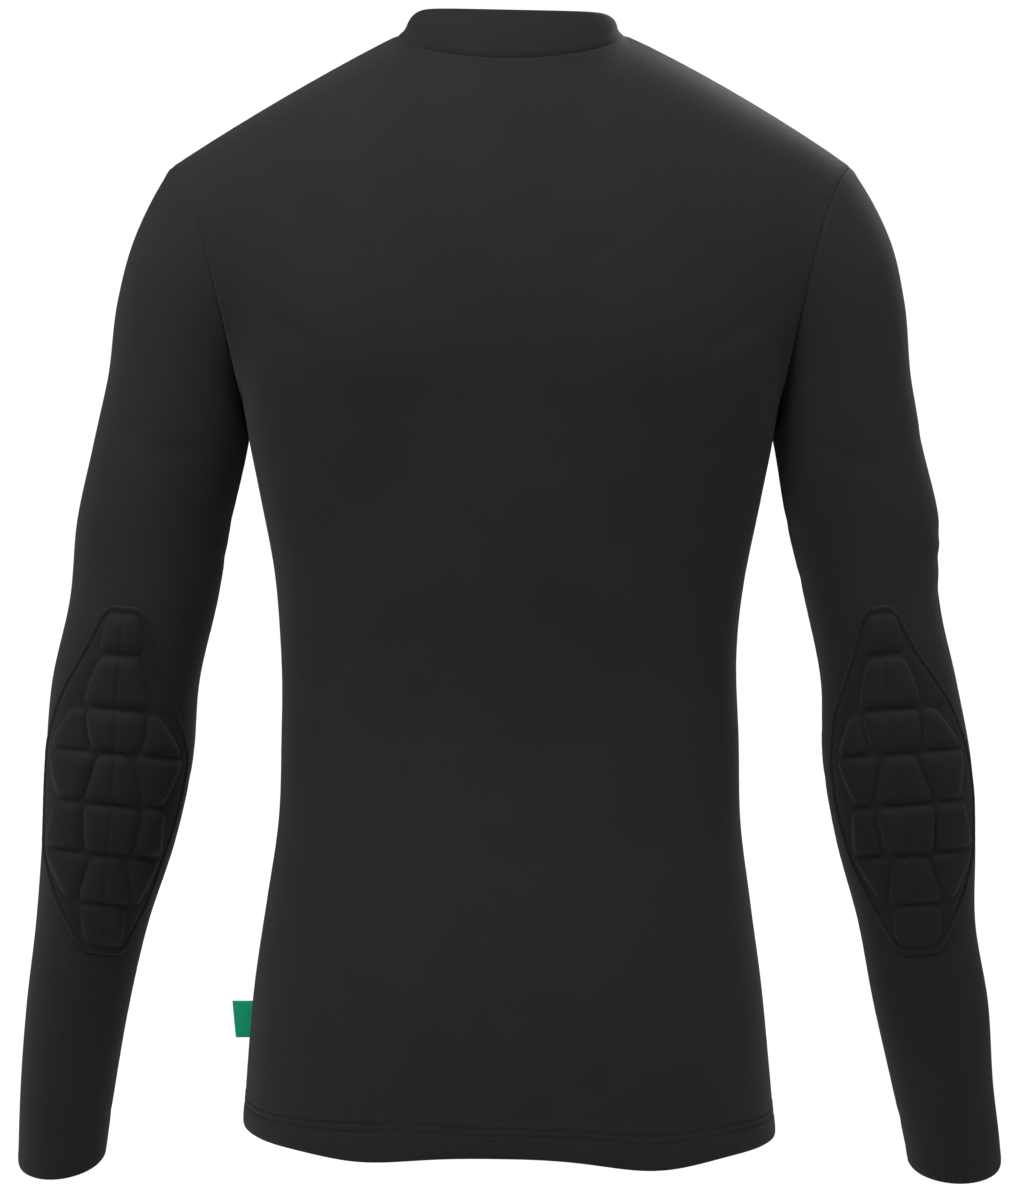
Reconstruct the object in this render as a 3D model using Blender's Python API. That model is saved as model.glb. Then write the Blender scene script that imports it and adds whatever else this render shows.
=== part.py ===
"""Long sleeve base layer shirt with padded elbows, filled out as on a wearer.

Lengths are in millimetres and become metres where the meshes are made. The front of the
shirt faces -Y, the wearer's left is +X, and the origin is in the neck, level with the
inner ends of the shoulder seams. Every piece of cloth is a wall whose outer points come
from the sections below.
"""

from collections import namedtuple

import bmesh
import bpy
import numpy as np

MM = 0.001
COLLECTION = "base_layer_shirt"

# Walls, in millimetres of cloth as worn.
WALL = 1.6
HEM_WALL = 2.8
COLLAR_WALL = 2.4
LABEL_WALL = 0.5
SEAM_GAP = 0.3
SLEEVE_GAP = 0.25
LAID_GAP = 0.8

# Grid of each panel: columns across it, rows above and below the underarm.
HALF_COLUMNS = 11
NECK_COLUMNS = 5
ARMHOLE_ROWS = 12
LOWER_ROWS = 11
SLEEVE_ROWS = 24
BACK = 1
FRONT = -1

# Shoulders, armholes and hem.
UNDERARM_Z = -230.0
SHOULDER_X = 218.0
SHOULDER_Z = -82.0
SHOULDER_ARCH = 3.0
HEM_Z = -699.5
HEM_SIDE_RISE = 2.5
HEM_HALF_WIDTH = 170.0
HEM_BAND = 20.0
HEM_STEP = 2.0
HEM_FADE = 6

# How near the armhole or the middle a panel's swellings stay: higher is nearer.
FOOT_SWELL_FADE = 1.2
TOP_SWELL_FADE = 0.7
DIP_REACH = 16
ARMHOLE_REACH = 12

# Neck opening and the stand-up collar on it.
NECK_HALF_WIDTH = 72.0
NECK_SIDE_Z = 3.5
COLLAR_TOP_HALF_WIDTH = 61.5
COLLAR_BELLY = 1.5
COLLAR_ROWS = 4
COLLAR_EDGE = 0.12
COLLAR_EDGE_PULL = 1.0

# Sleeves: tilts are how much higher the outer side of a section is than its inner side.
SLEEVE_SPREAD = 1.5
CUFF_Z = -719.0
RIGHT_CUFF_DROP = 3.0
SLEEVE_TILT = 17.0
CUFF_TILT = -5.0
HEAD_TURN = 110.0
HEAD_BLEND = 0.28
CUFF_SLANT = 4.0
CUFF_SLANT_FROM = 0.75

# Label in the wearer's left side seam.
LABEL_TOP_Z = -615.0
LABEL_BOTTOM_Z = -638.0
LABEL_TOP_WIDTH = 11.5
LABEL_BOTTOM_WIDTH = 8.5
LABEL_HALF_THICKNESS = 0.8

Section = namedtuple("Section", "z half_width back_depth front_depth squareness")
TORSO = [
    Section(-230, 172.0, 105, 122, 3.0),
    Section(-240, 170.0, 105, 123, 2.95),
    Section(-256, 167.4, 105, 123, 2.85),
    Section(-294, 160.0, 103, 121, 2.65),
    Section(-346, 150.0, 98, 113, 2.45),
    Section(-397, 145.6, 92, 105, 2.35),
    Section(-448, 146.4, 91, 102, 2.3),
    Section(-499, 147.8, 97, 104, 2.3),
    Section(-550, 154.6, 106, 108, 2.3),
    Section(-602, 161.9, 114, 111, 2.3),
    Section(-660, 167.2, 118, 112, 2.3),
    Section(-720, 171.5, 117, 110, 2.3),
]

HemWave = namedtuple("HemWave", "side x drop width")
HEM_WAVES = [
    HemWave(BACK, 84, 5.0, 42),
    HemWave(BACK, -83, 8.0, 46),
    HemWave(FRONT, 30, 4.0, 60),
]

# How a panel rises from the underarm level to the neck and the shoulder seam.
Rise = namedtuple(
    "Rise",
    "side neck_depth neck_z collar_top_depth collar_top_z depth foot_swell top_swell "
    "top_drop top_drop_centre armhole_in",
)
RISES = {
    BACK: Rise(BACK, 58, -17.5, 46, 14, 77, 35, 16, 10, 53, 22),
    FRONT: Rise(FRONT, 64, -62, 62, -33, 72, 52, 24, 10, 41, 32),
}
FOOT_RISE = 70.0
ARMHOLE_DIP = 72.0
COLLAR_TOP_SIDE_Z = 17.0

Outline = namedtuple("Outline", "z outer_left outer_right inner_left inner_right")
SLEEVE_OUTLINE = [
    Outline(-82, 218.0, 218.0, 172.0, 172.0),
    Outline(-102, 229.5, 230.4, 172.0, 172.0),
    Outline(-128, 241.3, 242.6, 172.0, 172.0),
    Outline(-166, 251.5, 251.5, 172.0, 172.0),
    Outline(-218, 258.0, 256.0, 172.0, 172.0),
    Outline(-256, 266.2, 261.8, 170.8, 170.8),
    Outline(-307, 277.0, 273.3, 178.6, 176.6),
    Outline(-358, 282.2, 274.0, 188.2, 188.2),
    Outline(-410, 292.5, 285.4, 199.0, 197.8),
    Outline(-461, 295.7, 293.4, 203.5, 199.0),
    Outline(-512, 298.5, 295.5, 215.0, 207.4),
    Outline(-565, 305.2, 299.4, 233.0, 222.0),
    Outline(-618, 312.9, 308.4, 246.2, 234.0),
    Outline(-671, 318.2, 313.0, 256.5, 246.8),
    Outline(-717, 320.9, 319.0, 264.1, 257.6),
    Outline(-748, 322.0, 320.7, 269.6, 263.0),
]

Depth = namedtuple("Depth", "z centre half")
SLEEVE_DEPTH = [
    Depth(-82, 0, 58.0),
    Depth(-156, 0, 57.0),
    Depth(-256, 2, 55.5),
    Depth(-330, 4, 51.0),
    Depth(-400, 6, 48.5),
    Depth(-461, 2, 47.0),
    Depth(-512, -6, 43.0),
    Depth(-565, -17, 38.0),
    Depth(-618, -30, 34.5),
    Depth(-671, -44, 31.5),
    Depth(-748, -64, 28.5),
]

# One row for each line between the elbow pad's cells, from its top edge to its bottom
# edge. Angles are degrees round the sleeve from the middle of its back, outwards.
PadLine = namedtuple("PadLine", "z turn_left half_left turn_right half_right cells")
PAD_LINES = [
    PadLine(-362, 8.5, 16.0, -0.8, 13.0, 8.0),
    PadLine(-393, 6.5, 31.5, -4.0, 30.5, 17.0),
    PadLine(-427, 3.0, 55.5, -3.0, 57.0, 25.0),
    PadLine(-455, 1.5, 73.0, 1.0, 67.5, 17.0),
    PadLine(-487, 1.5, 72.0, 3.0, 70.5, 25.0),
    PadLine(-519, 3.5, 67.5, 4.5, 66.0, 17.0),
    PadLine(-551, -9.0, 51.5, 1.5, 48.0, 22.0),
    PadLine(-584, -20.0, 25.0, -4.0, 21.5, 10.0),
]
PadRow = namedtuple("PadRow", "centre_height side_height")
PAD_ROWS = [
    PadRow(4.0, 1.9),
    PadRow(4.4, 3.0),
    PadRow(4.6, 4.4),
    PadRow(4.6, 4.4),
    PadRow(4.6, 4.4),
    PadRow(4.4, 4.2),
    PadRow(4.2, 2.4),
]
PAD_BASE = 1.3
PAD_SPLIT = 2.6
PAD_BORDER = 4.2
PAD_GROOVE = 1.9
PAD_LINE_GROOVE = 1.8
PAD_SLANT = 4.0
PAD_SIDE_LIFT = 0.5
PAD_NARROWEST_SIDE = 1.5
BISECTIONS = 26
PROBE = 0.002
KEYS_PER_MM = 50

Finish = namedtuple("Finish", "colour roughness")
CLOTH = Finish((0.024, 0.024, 0.026, 1.0), 0.85)
PAD_CLOTH = Finish((0.017, 0.017, 0.019, 1.0), 0.8)
LABEL_CLOTH = Finish((0.010, 0.235, 0.105, 1.0), 0.7)


def clear_scene():
    for item in list(bpy.data.objects):
        bpy.data.objects.remove(item, do_unlink=True)


def unit(vectors):
    """Each vector at length one."""
    return vectors / np.maximum(np.linalg.norm(vectors, axis=-1, keepdims=True), 1e-12)


def along(table, column, at):
    """A column of a table read at the heights given, as a smooth curve through its rows."""
    rows = sorted(table, key=lambda row: row.z)
    z = np.array([row.z for row in rows], float)
    value = np.array([getattr(row, column) for row in rows], float)
    slope = np.gradient(value, z)
    at = np.clip(np.asarray(at, float), z[0], z[-1])
    i = np.clip(np.searchsorted(z, at) - 1, 0, len(z) - 2)
    span = z[i + 1] - z[i]
    f = (at - z[i]) / span
    start = value[i] * (1 + 2 * f) * (1 - f) ** 2 + slope[i] * span * f * (1 - f) ** 2
    return start + value[i + 1] * f**2 * (3 - 2 * f) + slope[i + 1] * span * f**2 * (f - 1)


def bezier(a, b, c, d, t):
    """A point on the cubic curve with four control points."""
    return a * (1 - t) ** 3 + 3 * b * t * (1 - t) ** 2 + 3 * c * t**2 * (1 - t) + d * t**3


def point(x, y, z):
    """One array of points from three arrays that broadcast together."""
    return np.stack(np.broadcast_arrays(x, y, z), -1)


# Panels.


def torso_ring(z, angle, side):
    """Points round half of the torso, from the right side seam to the left one."""
    half = along(TORSO, "half_width", z)
    depth = along(TORSO, "back_depth" if side == BACK else "front_depth", z)
    power = 2 / along(TORSO, "squareness", z)
    x = half * np.sign(angle) * np.abs(np.sin(angle)) ** power
    y = side * depth * np.abs(np.cos(angle)) ** power
    return point(x, y, z)


def neck_angle(share):
    """A quarter turn from the middle of the neckline to the shoulder seam."""
    return np.minimum(share * HALF_COLUMNS / NECK_COLUMNS, 1.0) * np.pi / 2


def top_edge(angle, side):
    """The neckline and the shoulder seams, at the same angles as the ring below."""
    rise = RISES[side]
    share = np.abs(angle) / (np.pi / 2)
    turn = neck_angle(share)
    neck_share = NECK_COLUMNS / HALF_COLUMNS
    f = np.clip((share - neck_share) / (1 - neck_share), 0, 1)
    x = NECK_HALF_WIDTH * np.sin(turn) + f * (SHOULDER_X - NECK_HALF_WIDTH)
    y = side * rise.neck_depth * np.cos(turn) * (f == 0)
    z = NECK_SIDE_Z + (rise.neck_z - NECK_SIDE_Z) * np.cos(turn) ** 2
    z = z + f * (SHOULDER_Z - NECK_SIDE_Z) + SHOULDER_ARCH * np.sin(np.pi * f)
    return point(np.sign(angle) * x, y, z)


def upper_panel(angle, side, t):
    """The panel above the underarm: columns that climb from the ring to the top edge."""
    rise = RISES[side]
    foot = torso_ring(UNDERARM_Z, angle, side)
    head = top_edge(angle, side)
    s = np.abs(np.sin(angle))
    c = np.abs(np.cos(angle))
    first = point(
        foot[..., 0],
        side * (rise.depth + rise.foot_swell * c**FOOT_SWELL_FADE),
        foot[..., 2] + FOOT_RISE - ARMHOLE_DIP * s**DIP_REACH,
    )
    second = point(
        head[..., 0] - np.sign(angle) * rise.armhole_in * s**ARMHOLE_REACH,
        side * (rise.depth + rise.top_swell * c**TOP_SWELL_FADE),
        head[..., 2] - rise.top_drop - rise.top_drop_centre * c**2,
    )
    return bezier(foot, first, second, head, np.asarray(t, float)[..., None])


def hem_height(x, side):
    """The hem's height: a little higher at the wearer's left, with soft waves."""
    height = HEM_Z + HEM_SIDE_RISE * x / HEM_HALF_WIDTH
    fade = 1 - (x / HEM_HALF_WIDTH) ** HEM_FADE
    for wave in HEM_WAVES:
        if wave.side == side:
            height = height - wave.drop * fade * np.exp(-(((x - wave.x) / wave.width) ** 2))
    return height


def panel_grid(side):
    """Rows of points from the hem up to the neckline and shoulder seams."""
    angle = np.linspace(-np.pi / 2, np.pi / 2, 2 * HALF_COLUMNS + 1)
    x = HEM_HALF_WIDTH * np.sin(angle)
    hem = hem_height(x, side)
    rows = [torso_ring(hem + up, angle, side) for up in (0, HEM_BAND)]
    start = hem + HEM_BAND + HEM_STEP
    for k in range(LOWER_ROWS):
        rows.append(torso_ring(start + (UNDERARM_Z - start) * k / LOWER_ROWS, angle, side))
    for k in range(ARMHOLE_ROWS + 1):
        rows.append(upper_panel(angle, side, np.full(len(angle), k / ARMHOLE_ROWS)))
    return np.array(rows)


# Collar.


def collar_grid():
    """Rows of points from the neckline up to the collar's folded top edge."""
    low, high = [], []
    for side, order in ((BACK, 1), (FRONT, -1)):
        rise = RISES[side]
        steps = np.arange(-NECK_COLUMNS, NECK_COLUMNS) * order
        angle = steps * np.pi / 2 / HALF_COLUMNS
        turn = steps / NECK_COLUMNS * np.pi / 2
        low.append(top_edge(angle, side))
        c = np.cos(turn)
        climb = COLLAR_TOP_SIDE_Z + (rise.collar_top_z - COLLAR_TOP_SIDE_Z) * c**2
        high.append(
            point(COLLAR_TOP_HALF_WIDTH * np.sin(turn), side * rise.collar_top_depth * c, climb)
        )
    low = np.concatenate(low)
    high = np.concatenate(high)
    out = unit(high * (1.0, 1.0, 0.0))
    shares = [k / COLLAR_ROWS for k in range(COLLAR_ROWS)] + [1 - COLLAR_EDGE / 2, 1.0]
    rows = []
    for f in sorted(shares):
        belly = COLLAR_BELLY * np.sin(np.pi * f) - (COLLAR_EDGE_PULL if f == 1 else 0.0)
        rows.append(low + (high - low) * f + out * belly)
    return np.array(rows)


# Sleeves and what lies on them.


def plain_sleeve(side, s, phi):
    """A sleeve's oval sections before its head is fitted to the armhole."""
    name = "left" if side > 0 else "right"
    cuff_z = CUFF_Z - (0.0 if side > 0 else RIGHT_CUFF_DROP)
    inner_z = UNDERARM_Z + (cuff_z - UNDERARM_Z) * s**SLEEVE_SPREAD
    turned = np.clip((UNDERARM_Z - inner_z) / HEAD_TURN, 0, 1)
    tilt = SLEEVE_TILT + (CUFF_TILT - SLEEVE_TILT) * s**2
    head = SHOULDER_Z - UNDERARM_Z - SLEEVE_TILT
    outer_z = inner_z + tilt + head * (1 - turned) ** 2
    outer_x = along(SLEEVE_OUTLINE, "outer_" + name, outer_z)
    inner_x = along(SLEEVE_OUTLINE, "inner_" + name, inner_z)
    z = (outer_z + inner_z) / 2
    centre = along(SLEEVE_DEPTH, "centre", z)
    half = along(SLEEVE_DEPTH, "half", z)
    pitch = along(SLEEVE_DEPTH, "centre", z + 1) - along(SLEEVE_DEPTH, "centre", z - 1)
    lean = np.arctan(pitch / 2)
    slant = CUFF_SLANT * np.clip((s - CUFF_SLANT_FROM) / (1 - CUFF_SLANT_FROM), 0, 1) ** 2
    x = (outer_x + inner_x) / 2 + (outer_x - inner_x) / 2 * np.cos(phi)
    y = centre + half * np.cos(lean) * np.sin(phi)
    up = (outer_z - inner_z) / 2 * np.cos(phi) - (half * np.sin(lean) + slant) * np.sin(phi)
    return point(x, y, z + up)


def armhole(phi):
    """The wearer's left armhole: its top at 0, its back at 90 and its underarm at 180."""
    phi = np.mod(phi, 2 * np.pi)
    quarter = np.full(np.shape(phi), np.pi / 2)
    back = upper_panel(quarter, BACK, np.clip(1 - phi / np.pi, 0, 1))
    front = upper_panel(quarter, FRONT, np.clip(phi / np.pi - 1, 0, 1))
    return np.where((phi <= np.pi)[..., None], back, front)


def sleeve_point(side, s, phi):
    """Points on a sleeve's outside, s from 0 at the armhole to 1 at the cuff."""
    s, phi = np.broadcast_arrays(np.asarray(s, float), np.asarray(phi, float))
    fitted = armhole(phi) - plain_sleeve(side, np.zeros_like(s), phi)
    share = (1 - np.clip(s / HEAD_BLEND, 0, 1)) ** 2
    made = plain_sleeve(side, s, phi) + fitted * share[..., None]
    return (made + (SLEEVE_GAP, 0, 0)) * (side, 1, 1)


def sleeve_grid(side):
    s = np.linspace(0, 1, SLEEVE_ROWS + 1)
    phi = np.arange(2 * ARMHOLE_ROWS) * np.pi / ARMHOLE_ROWS
    return sleeve_point(side, s[:, None], phi[None, :])


def station_at(side, height, phi):
    """Where along the sleeve its surface is at the height given, by halving."""
    low = np.zeros_like(height)
    high = np.ones_like(height)
    for _ in range(BISECTIONS):
        middle = (low + high) / 2
        above = sleeve_point(side, middle, phi)[..., 2] > height
        low = np.where(above, middle, low)
        high = np.where(above, high, middle)
    return (low + high) / 2


def pad_lines():
    """Heights of the pad's lines, with the row of cells that each one borders or crosses."""
    z = [line.z for line in PAD_LINES]
    lines = [(z[0], None)]
    for row in range(len(PAD_ROWS)):
        first = row == 0
        last = row == len(PAD_ROWS) - 1
        top = z[row] - (PAD_BORDER if first else PAD_LINE_GROOVE)
        bottom = z[row + 1] + (PAD_BORDER if last else PAD_LINE_GROOVE)
        lines += [(top, row), ((top + bottom) / 2, row), (bottom, row), (z[row + 1], None)]
    return lines


def pad_columns(half, cells, radius):
    """Angles across half of the pad, from its edge to its middle, and what each one is."""
    border = np.degrees(PAD_BORDER / radius)
    groove = np.degrees(PAD_GROOVE / radius)
    cells = min(cells, half - border - PAD_NARROWEST_SIDE * groove)
    side = half - border
    return [
        (half, "base"),
        (side, "side"),
        ((side + cells + groove) / 2, "side"),
        (cells + groove, "side"),
        (cells, "base"),
        (cells - groove, "centre"),
        (cells / 2, "centre"),
        (groove, "centre"),
        (0.0, "split"),
    ]


def pad_solid(side):
    """The elbow pad's outer and inner points, laid on the sleeve and moved out."""
    name = "left" if side > 0 else "right"
    z = [-line.z for line in PAD_LINES]
    rows = []
    for height, row in pad_lines():
        turn = np.interp(-height, z, [getattr(line, "turn_" + name) for line in PAD_LINES])
        half = np.interp(-height, z, [getattr(line, "half_" + name) for line in PAD_LINES])
        cells = np.interp(-height, z, [line.cells for line in PAD_LINES])
        radius = along(SLEEVE_DEPTH, "half", height)
        columns = pad_columns(half, cells, radius)
        mirrored = [(-a, kind) for a, kind in reversed(columns[:-1])]
        for a, kind in columns + mirrored:
            tall = PAD_BASE
            if row is not None and kind != "base":
                cell = PAD_ROWS[row]
                tall = cell.side_height if kind == "side" else cell.centre_height
                tall = PAD_SPLIT if kind == "split" else tall
            lift = LAID_GAP + (PAD_SIDE_LIFT if kind == "side" else 0.0)
            rows.append((height + PAD_SLANT * np.sin(np.radians(a)), a + turn, tall, lift))
    rows = np.array(rows).reshape(len(pad_lines()), -1, 4)
    phi = np.pi / 2 - np.radians(rows[..., 1])
    s = station_at(side, rows[..., 0], phi)
    surface = sleeve_point(side, s, phi)
    down = sleeve_point(side, s + PROBE, phi) - sleeve_point(side, s - PROBE, phi)
    across = sleeve_point(side, s, phi + PROBE) - sleeve_point(side, s, phi - PROBE)
    out = unit(np.cross(down, across)) * side
    return surface + out * (LAID_GAP + rows[..., 2:3]), surface + out * rows[..., 3:4]


# Walls.


def grid_normals(grid, around, outward):
    """The outward direction at each point of a grid."""
    down = np.gradient(grid, axis=0)
    if around:
        across = np.roll(grid, -1, 1) - np.roll(grid, 1, 1)
    else:
        across = np.gradient(grid, axis=1)
    return unit(np.cross(across, down)) * outward


def edge_shift(grid, around, seams):
    """How far each edge point moves into its own piece, to leave half of the seam gap."""
    shift = np.zeros_like(grid)
    sides = {
        "start": (grid[0], grid[1], (0, slice(None))),
        "end": (grid[-1], grid[-2], (-1, slice(None))),
        "left": (grid[:, 0], grid[:, 1], (slice(None), 0)),
        "right": (grid[:, -1], grid[:, -2], (slice(None), -1)),
    }
    for seam in seams:
        edge, inside, where = sides[seam]
        if around:
            run = unit(np.roll(edge, -1, 0) - np.roll(edge, 1, 0))
        else:
            run = unit(np.gradient(edge, axis=0))
        inwards = inside - edge
        inwards = inwards - (inwards * run).sum(-1, keepdims=True) * run
        shift[where] += unit(inwards) * SEAM_GAP / 2
    return shift


def seam_keys(piece):
    """Each point as whole steps, the same for pieces that share a seam."""
    moved = piece["grid"] - (piece["move"], 0, 0)
    return np.round(moved * KEYS_PER_MM).astype(int).reshape(-1, 3)


def shared_normals(pieces):
    """Normals that pieces sewn together share along their seams."""
    own = {n: grid_normals(p["grid"], p["around"], p["outward"]) for n, p in pieces.items()}
    groups = {}
    for name, piece in pieces.items():
        keys = seam_keys(piece)
        for key, normal in zip(map(tuple, keys), own[name].reshape(-1, 3)):
            members = groups.setdefault(key, {})
            members[piece["group"]] = members.get(piece["group"], 0) + normal
    for name, piece in pieces.items():
        keys = seam_keys(piece)
        joined = [sum(unit(v) for v in groups[tuple(k)].values()) for k in keys]
        own[name] = unit(np.array(joined)).reshape(piece["grid"].shape)
    return own


def closed_solid(outer, inner, around):
    """Faces between two grids, both split along the same diagonals and closed at the rims."""
    rows, columns = outer.shape[:2]
    count = rows * columns

    def at(layer, i, j):
        return layer * count + i * columns + j % columns

    faces = []
    for i in range(rows - 1):
        for j in range(columns if around else columns - 1):
            ring = [(i, j), (i, j + 1), (i + 1, j + 1), (i + 1, j)]
            corners = [outer[a, b % columns] for a, b in ring]
            first = np.linalg.norm(corners[2] - corners[0])
            second = np.linalg.norm(corners[3] - corners[1])
            start = 0 if first <= second else 1
            ring = ring[start:] + ring[:start]
            for corner in (ring[:3], [ring[0], ring[2], ring[3]]):
                faces.append([at(0, *spot) for spot in corner])
                faces.append([at(1, *spot) for spot in reversed(corner)])
    for i in (0, rows - 1):
        for j in range(columns if around else columns - 1):
            faces.append([at(0, i, j), at(1, i, j), at(1, i, j + 1), at(0, i, j + 1)])
    if not around:
        for j in (0, columns - 1):
            for i in range(rows - 1):
                faces.append([at(0, i, j), at(0, i + 1, j), at(1, i + 1, j), at(1, i, j)])
    return np.concatenate([outer.reshape(-1, 3), inner.reshape(-1, 3)]), faces


def add_object(name, points, faces, finish, collection):
    """A mesh object in metres with its own material, its faces turned outwards."""
    mesh = bpy.data.meshes.new(name)
    mesh.from_pydata((points * MM).tolist(), [], faces)
    made = bmesh.new()
    made.from_mesh(mesh)
    bmesh.ops.recalc_face_normals(made, faces=made.faces)
    made.to_mesh(mesh)
    made.free()
    mesh.shade_smooth()
    material = bpy.data.materials.new(name)
    material.use_nodes = True
    shader = material.node_tree.nodes["Principled BSDF"]
    shader.inputs["Base Color"].default_value = finish.colour
    shader.inputs["Roughness"].default_value = finish.roughness
    shader.inputs["Metallic"].default_value = 0.0
    mesh.materials.append(material)
    item = bpy.data.objects.new(name, mesh)
    collection.objects.link(item)
    return item


def cloth_pieces():
    """The sewn pieces: their grids, which edges are seams, and how thick each row is."""
    pieces = {}
    for name, side in (("back", BACK), ("front", FRONT)):
        grid = panel_grid(side)
        wall = np.full(len(grid), WALL)
        wall[:2] = HEM_WALL
        pieces[name] = {
            "grid": grid,
            "around": False,
            "outward": -side,
            "group": "panels",
            "move": 0.0,
            "seams": ("end", "left", "right"),
            "wall": wall,
        }
    for name, side in (("sleeve_left", 1), ("sleeve_right", -1)):
        grid = sleeve_grid(side)
        pieces[name] = {
            "grid": grid,
            "around": True,
            "outward": -side,
            "group": name,
            "move": side * SLEEVE_GAP,
            "seams": (),
            "wall": np.full(len(grid), WALL),
        }
    grid = collar_grid()
    wall = np.full(len(grid), COLLAR_WALL)
    wall[0] = WALL
    wall[-1] = WALL
    pieces["collar"] = {
        "grid": grid,
        "around": True,
        "outward": -1,
        "group": "collar",
        "move": 0.0,
        "seams": ("start",),
        "wall": wall,
    }
    return pieces


def label_grid():
    """A folded tab: out along its back leaf, round the fold and in along its front leaf."""
    rows = []
    for f in (0.0, 0.5, 1.0):
        z = LABEL_TOP_Z + (LABEL_BOTTOM_Z - LABEL_TOP_Z) * f
        root = float(along(TORSO, "half_width", z)) + SEAM_GAP
        tip = root + LABEL_TOP_WIDTH + (LABEL_BOTTOM_WIDTH - LABEL_TOP_WIDTH) * f
        t = LABEL_HALF_THICKNESS
        path = [(root, t), ((root + tip) / 2, t), (tip - t, t), (tip, 0.0)]
        path += [(x, -y) for x, y in reversed(path[:-1])]
        rows.append([(x, y, z) for x, y in path])
    return np.array(rows)


def build():
    clear_scene()
    collection = bpy.data.collections.new(COLLECTION)
    bpy.context.scene.collection.children.link(collection)
    pieces = cloth_pieces()
    normals = shared_normals(pieces)
    for name, piece in pieces.items():
        shift = edge_shift(piece["grid"], piece["around"], piece["seams"])
        outer = piece["grid"] + shift
        inner = outer - normals[name] * piece["wall"][:, None, None]
        points, faces = closed_solid(outer, inner, piece["around"])
        add_object(name, points, faces, CLOTH, collection)
    for name, side in (("elbow_pad_left", 1), ("elbow_pad_right", -1)):
        outer, inner = pad_solid(side)
        points, faces = closed_solid(outer, inner, False)
        add_object(name, points, faces, PAD_CLOTH, collection)
    tab = label_grid()
    inner = tab - grid_normals(tab, False, -1) * LABEL_WALL
    points, faces = closed_solid(tab, inner, False)
    add_object("side_label", points, faces, LABEL_CLOTH, collection)


build()
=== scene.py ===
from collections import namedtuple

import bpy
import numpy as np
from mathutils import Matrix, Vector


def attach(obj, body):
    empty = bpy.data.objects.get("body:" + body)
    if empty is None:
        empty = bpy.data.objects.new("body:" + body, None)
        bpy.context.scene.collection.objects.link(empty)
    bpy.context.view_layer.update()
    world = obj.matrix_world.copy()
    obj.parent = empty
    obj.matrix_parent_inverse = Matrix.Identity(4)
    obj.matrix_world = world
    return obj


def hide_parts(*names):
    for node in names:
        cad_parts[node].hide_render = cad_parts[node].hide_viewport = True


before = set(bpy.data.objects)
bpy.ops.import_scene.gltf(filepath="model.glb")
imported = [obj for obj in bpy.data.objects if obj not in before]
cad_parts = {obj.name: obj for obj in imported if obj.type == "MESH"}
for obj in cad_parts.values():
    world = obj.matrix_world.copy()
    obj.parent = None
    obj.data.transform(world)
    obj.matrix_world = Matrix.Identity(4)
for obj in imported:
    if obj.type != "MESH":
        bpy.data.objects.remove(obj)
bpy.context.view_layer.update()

# Looks of the long sleeve base layer shirt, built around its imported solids.
#
# Shapes are worked out in millimetres from nearly the same sections as the solids and become
# metres where the meshes are made. The front of the shirt faces -Y and the wearer's left is
# +X. The camera stands behind it, as in the photograph.

MM = 0.001
BACK = 1
FRONT = -1
LEFT = 1
RIGHT = -1
QUARTER = np.pi / 2


def table(columns, *rows):
    """Rows whose values can be read by the names of their columns."""
    kind = namedtuple("Row", columns)
    return [kind(*row) for row in rows]


# The photograph's frame: 0.64 mm a pixel at the middle of the shirt.
PHOTO_WIDTH = 1017
PHOTO_HEIGHT = 1200
MM_PER_PIXEL = 0.64
MIDDLE_PIXEL_X = 511.0
NECK_PIXEL_Y = 40.0
EYE_DISTANCE = 3.0
SENSOR = 36.0

# Sizes of the shirt. Most are those of its solids, and a few are a little truer to the photo.
UNDERARM_Z = -230.0
SHOULDER_X = 218.0
SHOULDER_Z = -82.0
LEFT_SHOULDER_ARCH = 3.2
RIGHT_SHOULDER_ARCH = 5.0
SHOULDER_ARCH_POWER = 0.58
HEM_Z = -699.5
HEM_SIDE_RISE = 2.5
HEM_HALF_WIDTH = 170.0
HEM_DROP = 2.2
HEM_CORNER_RISE = 3.0
HEM_CORNER_POWER = 16
HEM_LEFT_RISE = 1.9
HEM_LEFT_POWER = 10
HEM_FADE = 6
FOOT_SWELL_FADE = 1.2
TOP_SWELL_FADE = 0.7
DIP_REACH = 16
ARMHOLE_REACH = 12
NECK_HALF_WIDTH = 72.0
NECK_SIDE_Z = 3.5
NECK_SHARE = 5 / 11
COLLAR_TOP_HALF_WIDTH = 64.0
COLLAR_TOP_SIDE_Z = 17.0
COLLAR_BELLY = 1.5
COLLAR_TILT = 1.3
LEFT_COLLAR_SHOULDER = 4.2
RIGHT_COLLAR_SHOULDER = 2.3
RIGHT_COLLAR_OUT = 1.8
COLLAR_SHOULDER_POWER = 15
COLLAR_FILLET = 16.0
COLLAR_SIDE_POWER = 6
NECK_CURVE = 1.15
NECK_ROUNDING = 0.075
NECK_FADE = 0.035
SOFT_REACH = 2.2
SOFT_STEPS = 15
SLEEVE_SPREAD = 1.5
CUFF_Z = -719.0
RIGHT_CUFF_DROP = 5.0
SLEEVE_TILT = 17.0
LEFT_CUFF_TILT = -5.0
RIGHT_CUFF_TILT = -1.0
HEAD_TURN = 110.0
HEAD_BLEND = 0.28
CUFF_SLANT = 4.0
CUFF_SLANT_FROM = 0.75
FOOT_RISE = 70.0
ARMHOLE_DIP = 72.0
LABEL_TOP_Z = -615.0
LABEL_BOTTOM_Z = -638.0
LABEL_TOP_WIDTH = 14.2
LABEL_BOTTOM_WIDTH = 10.0

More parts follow.
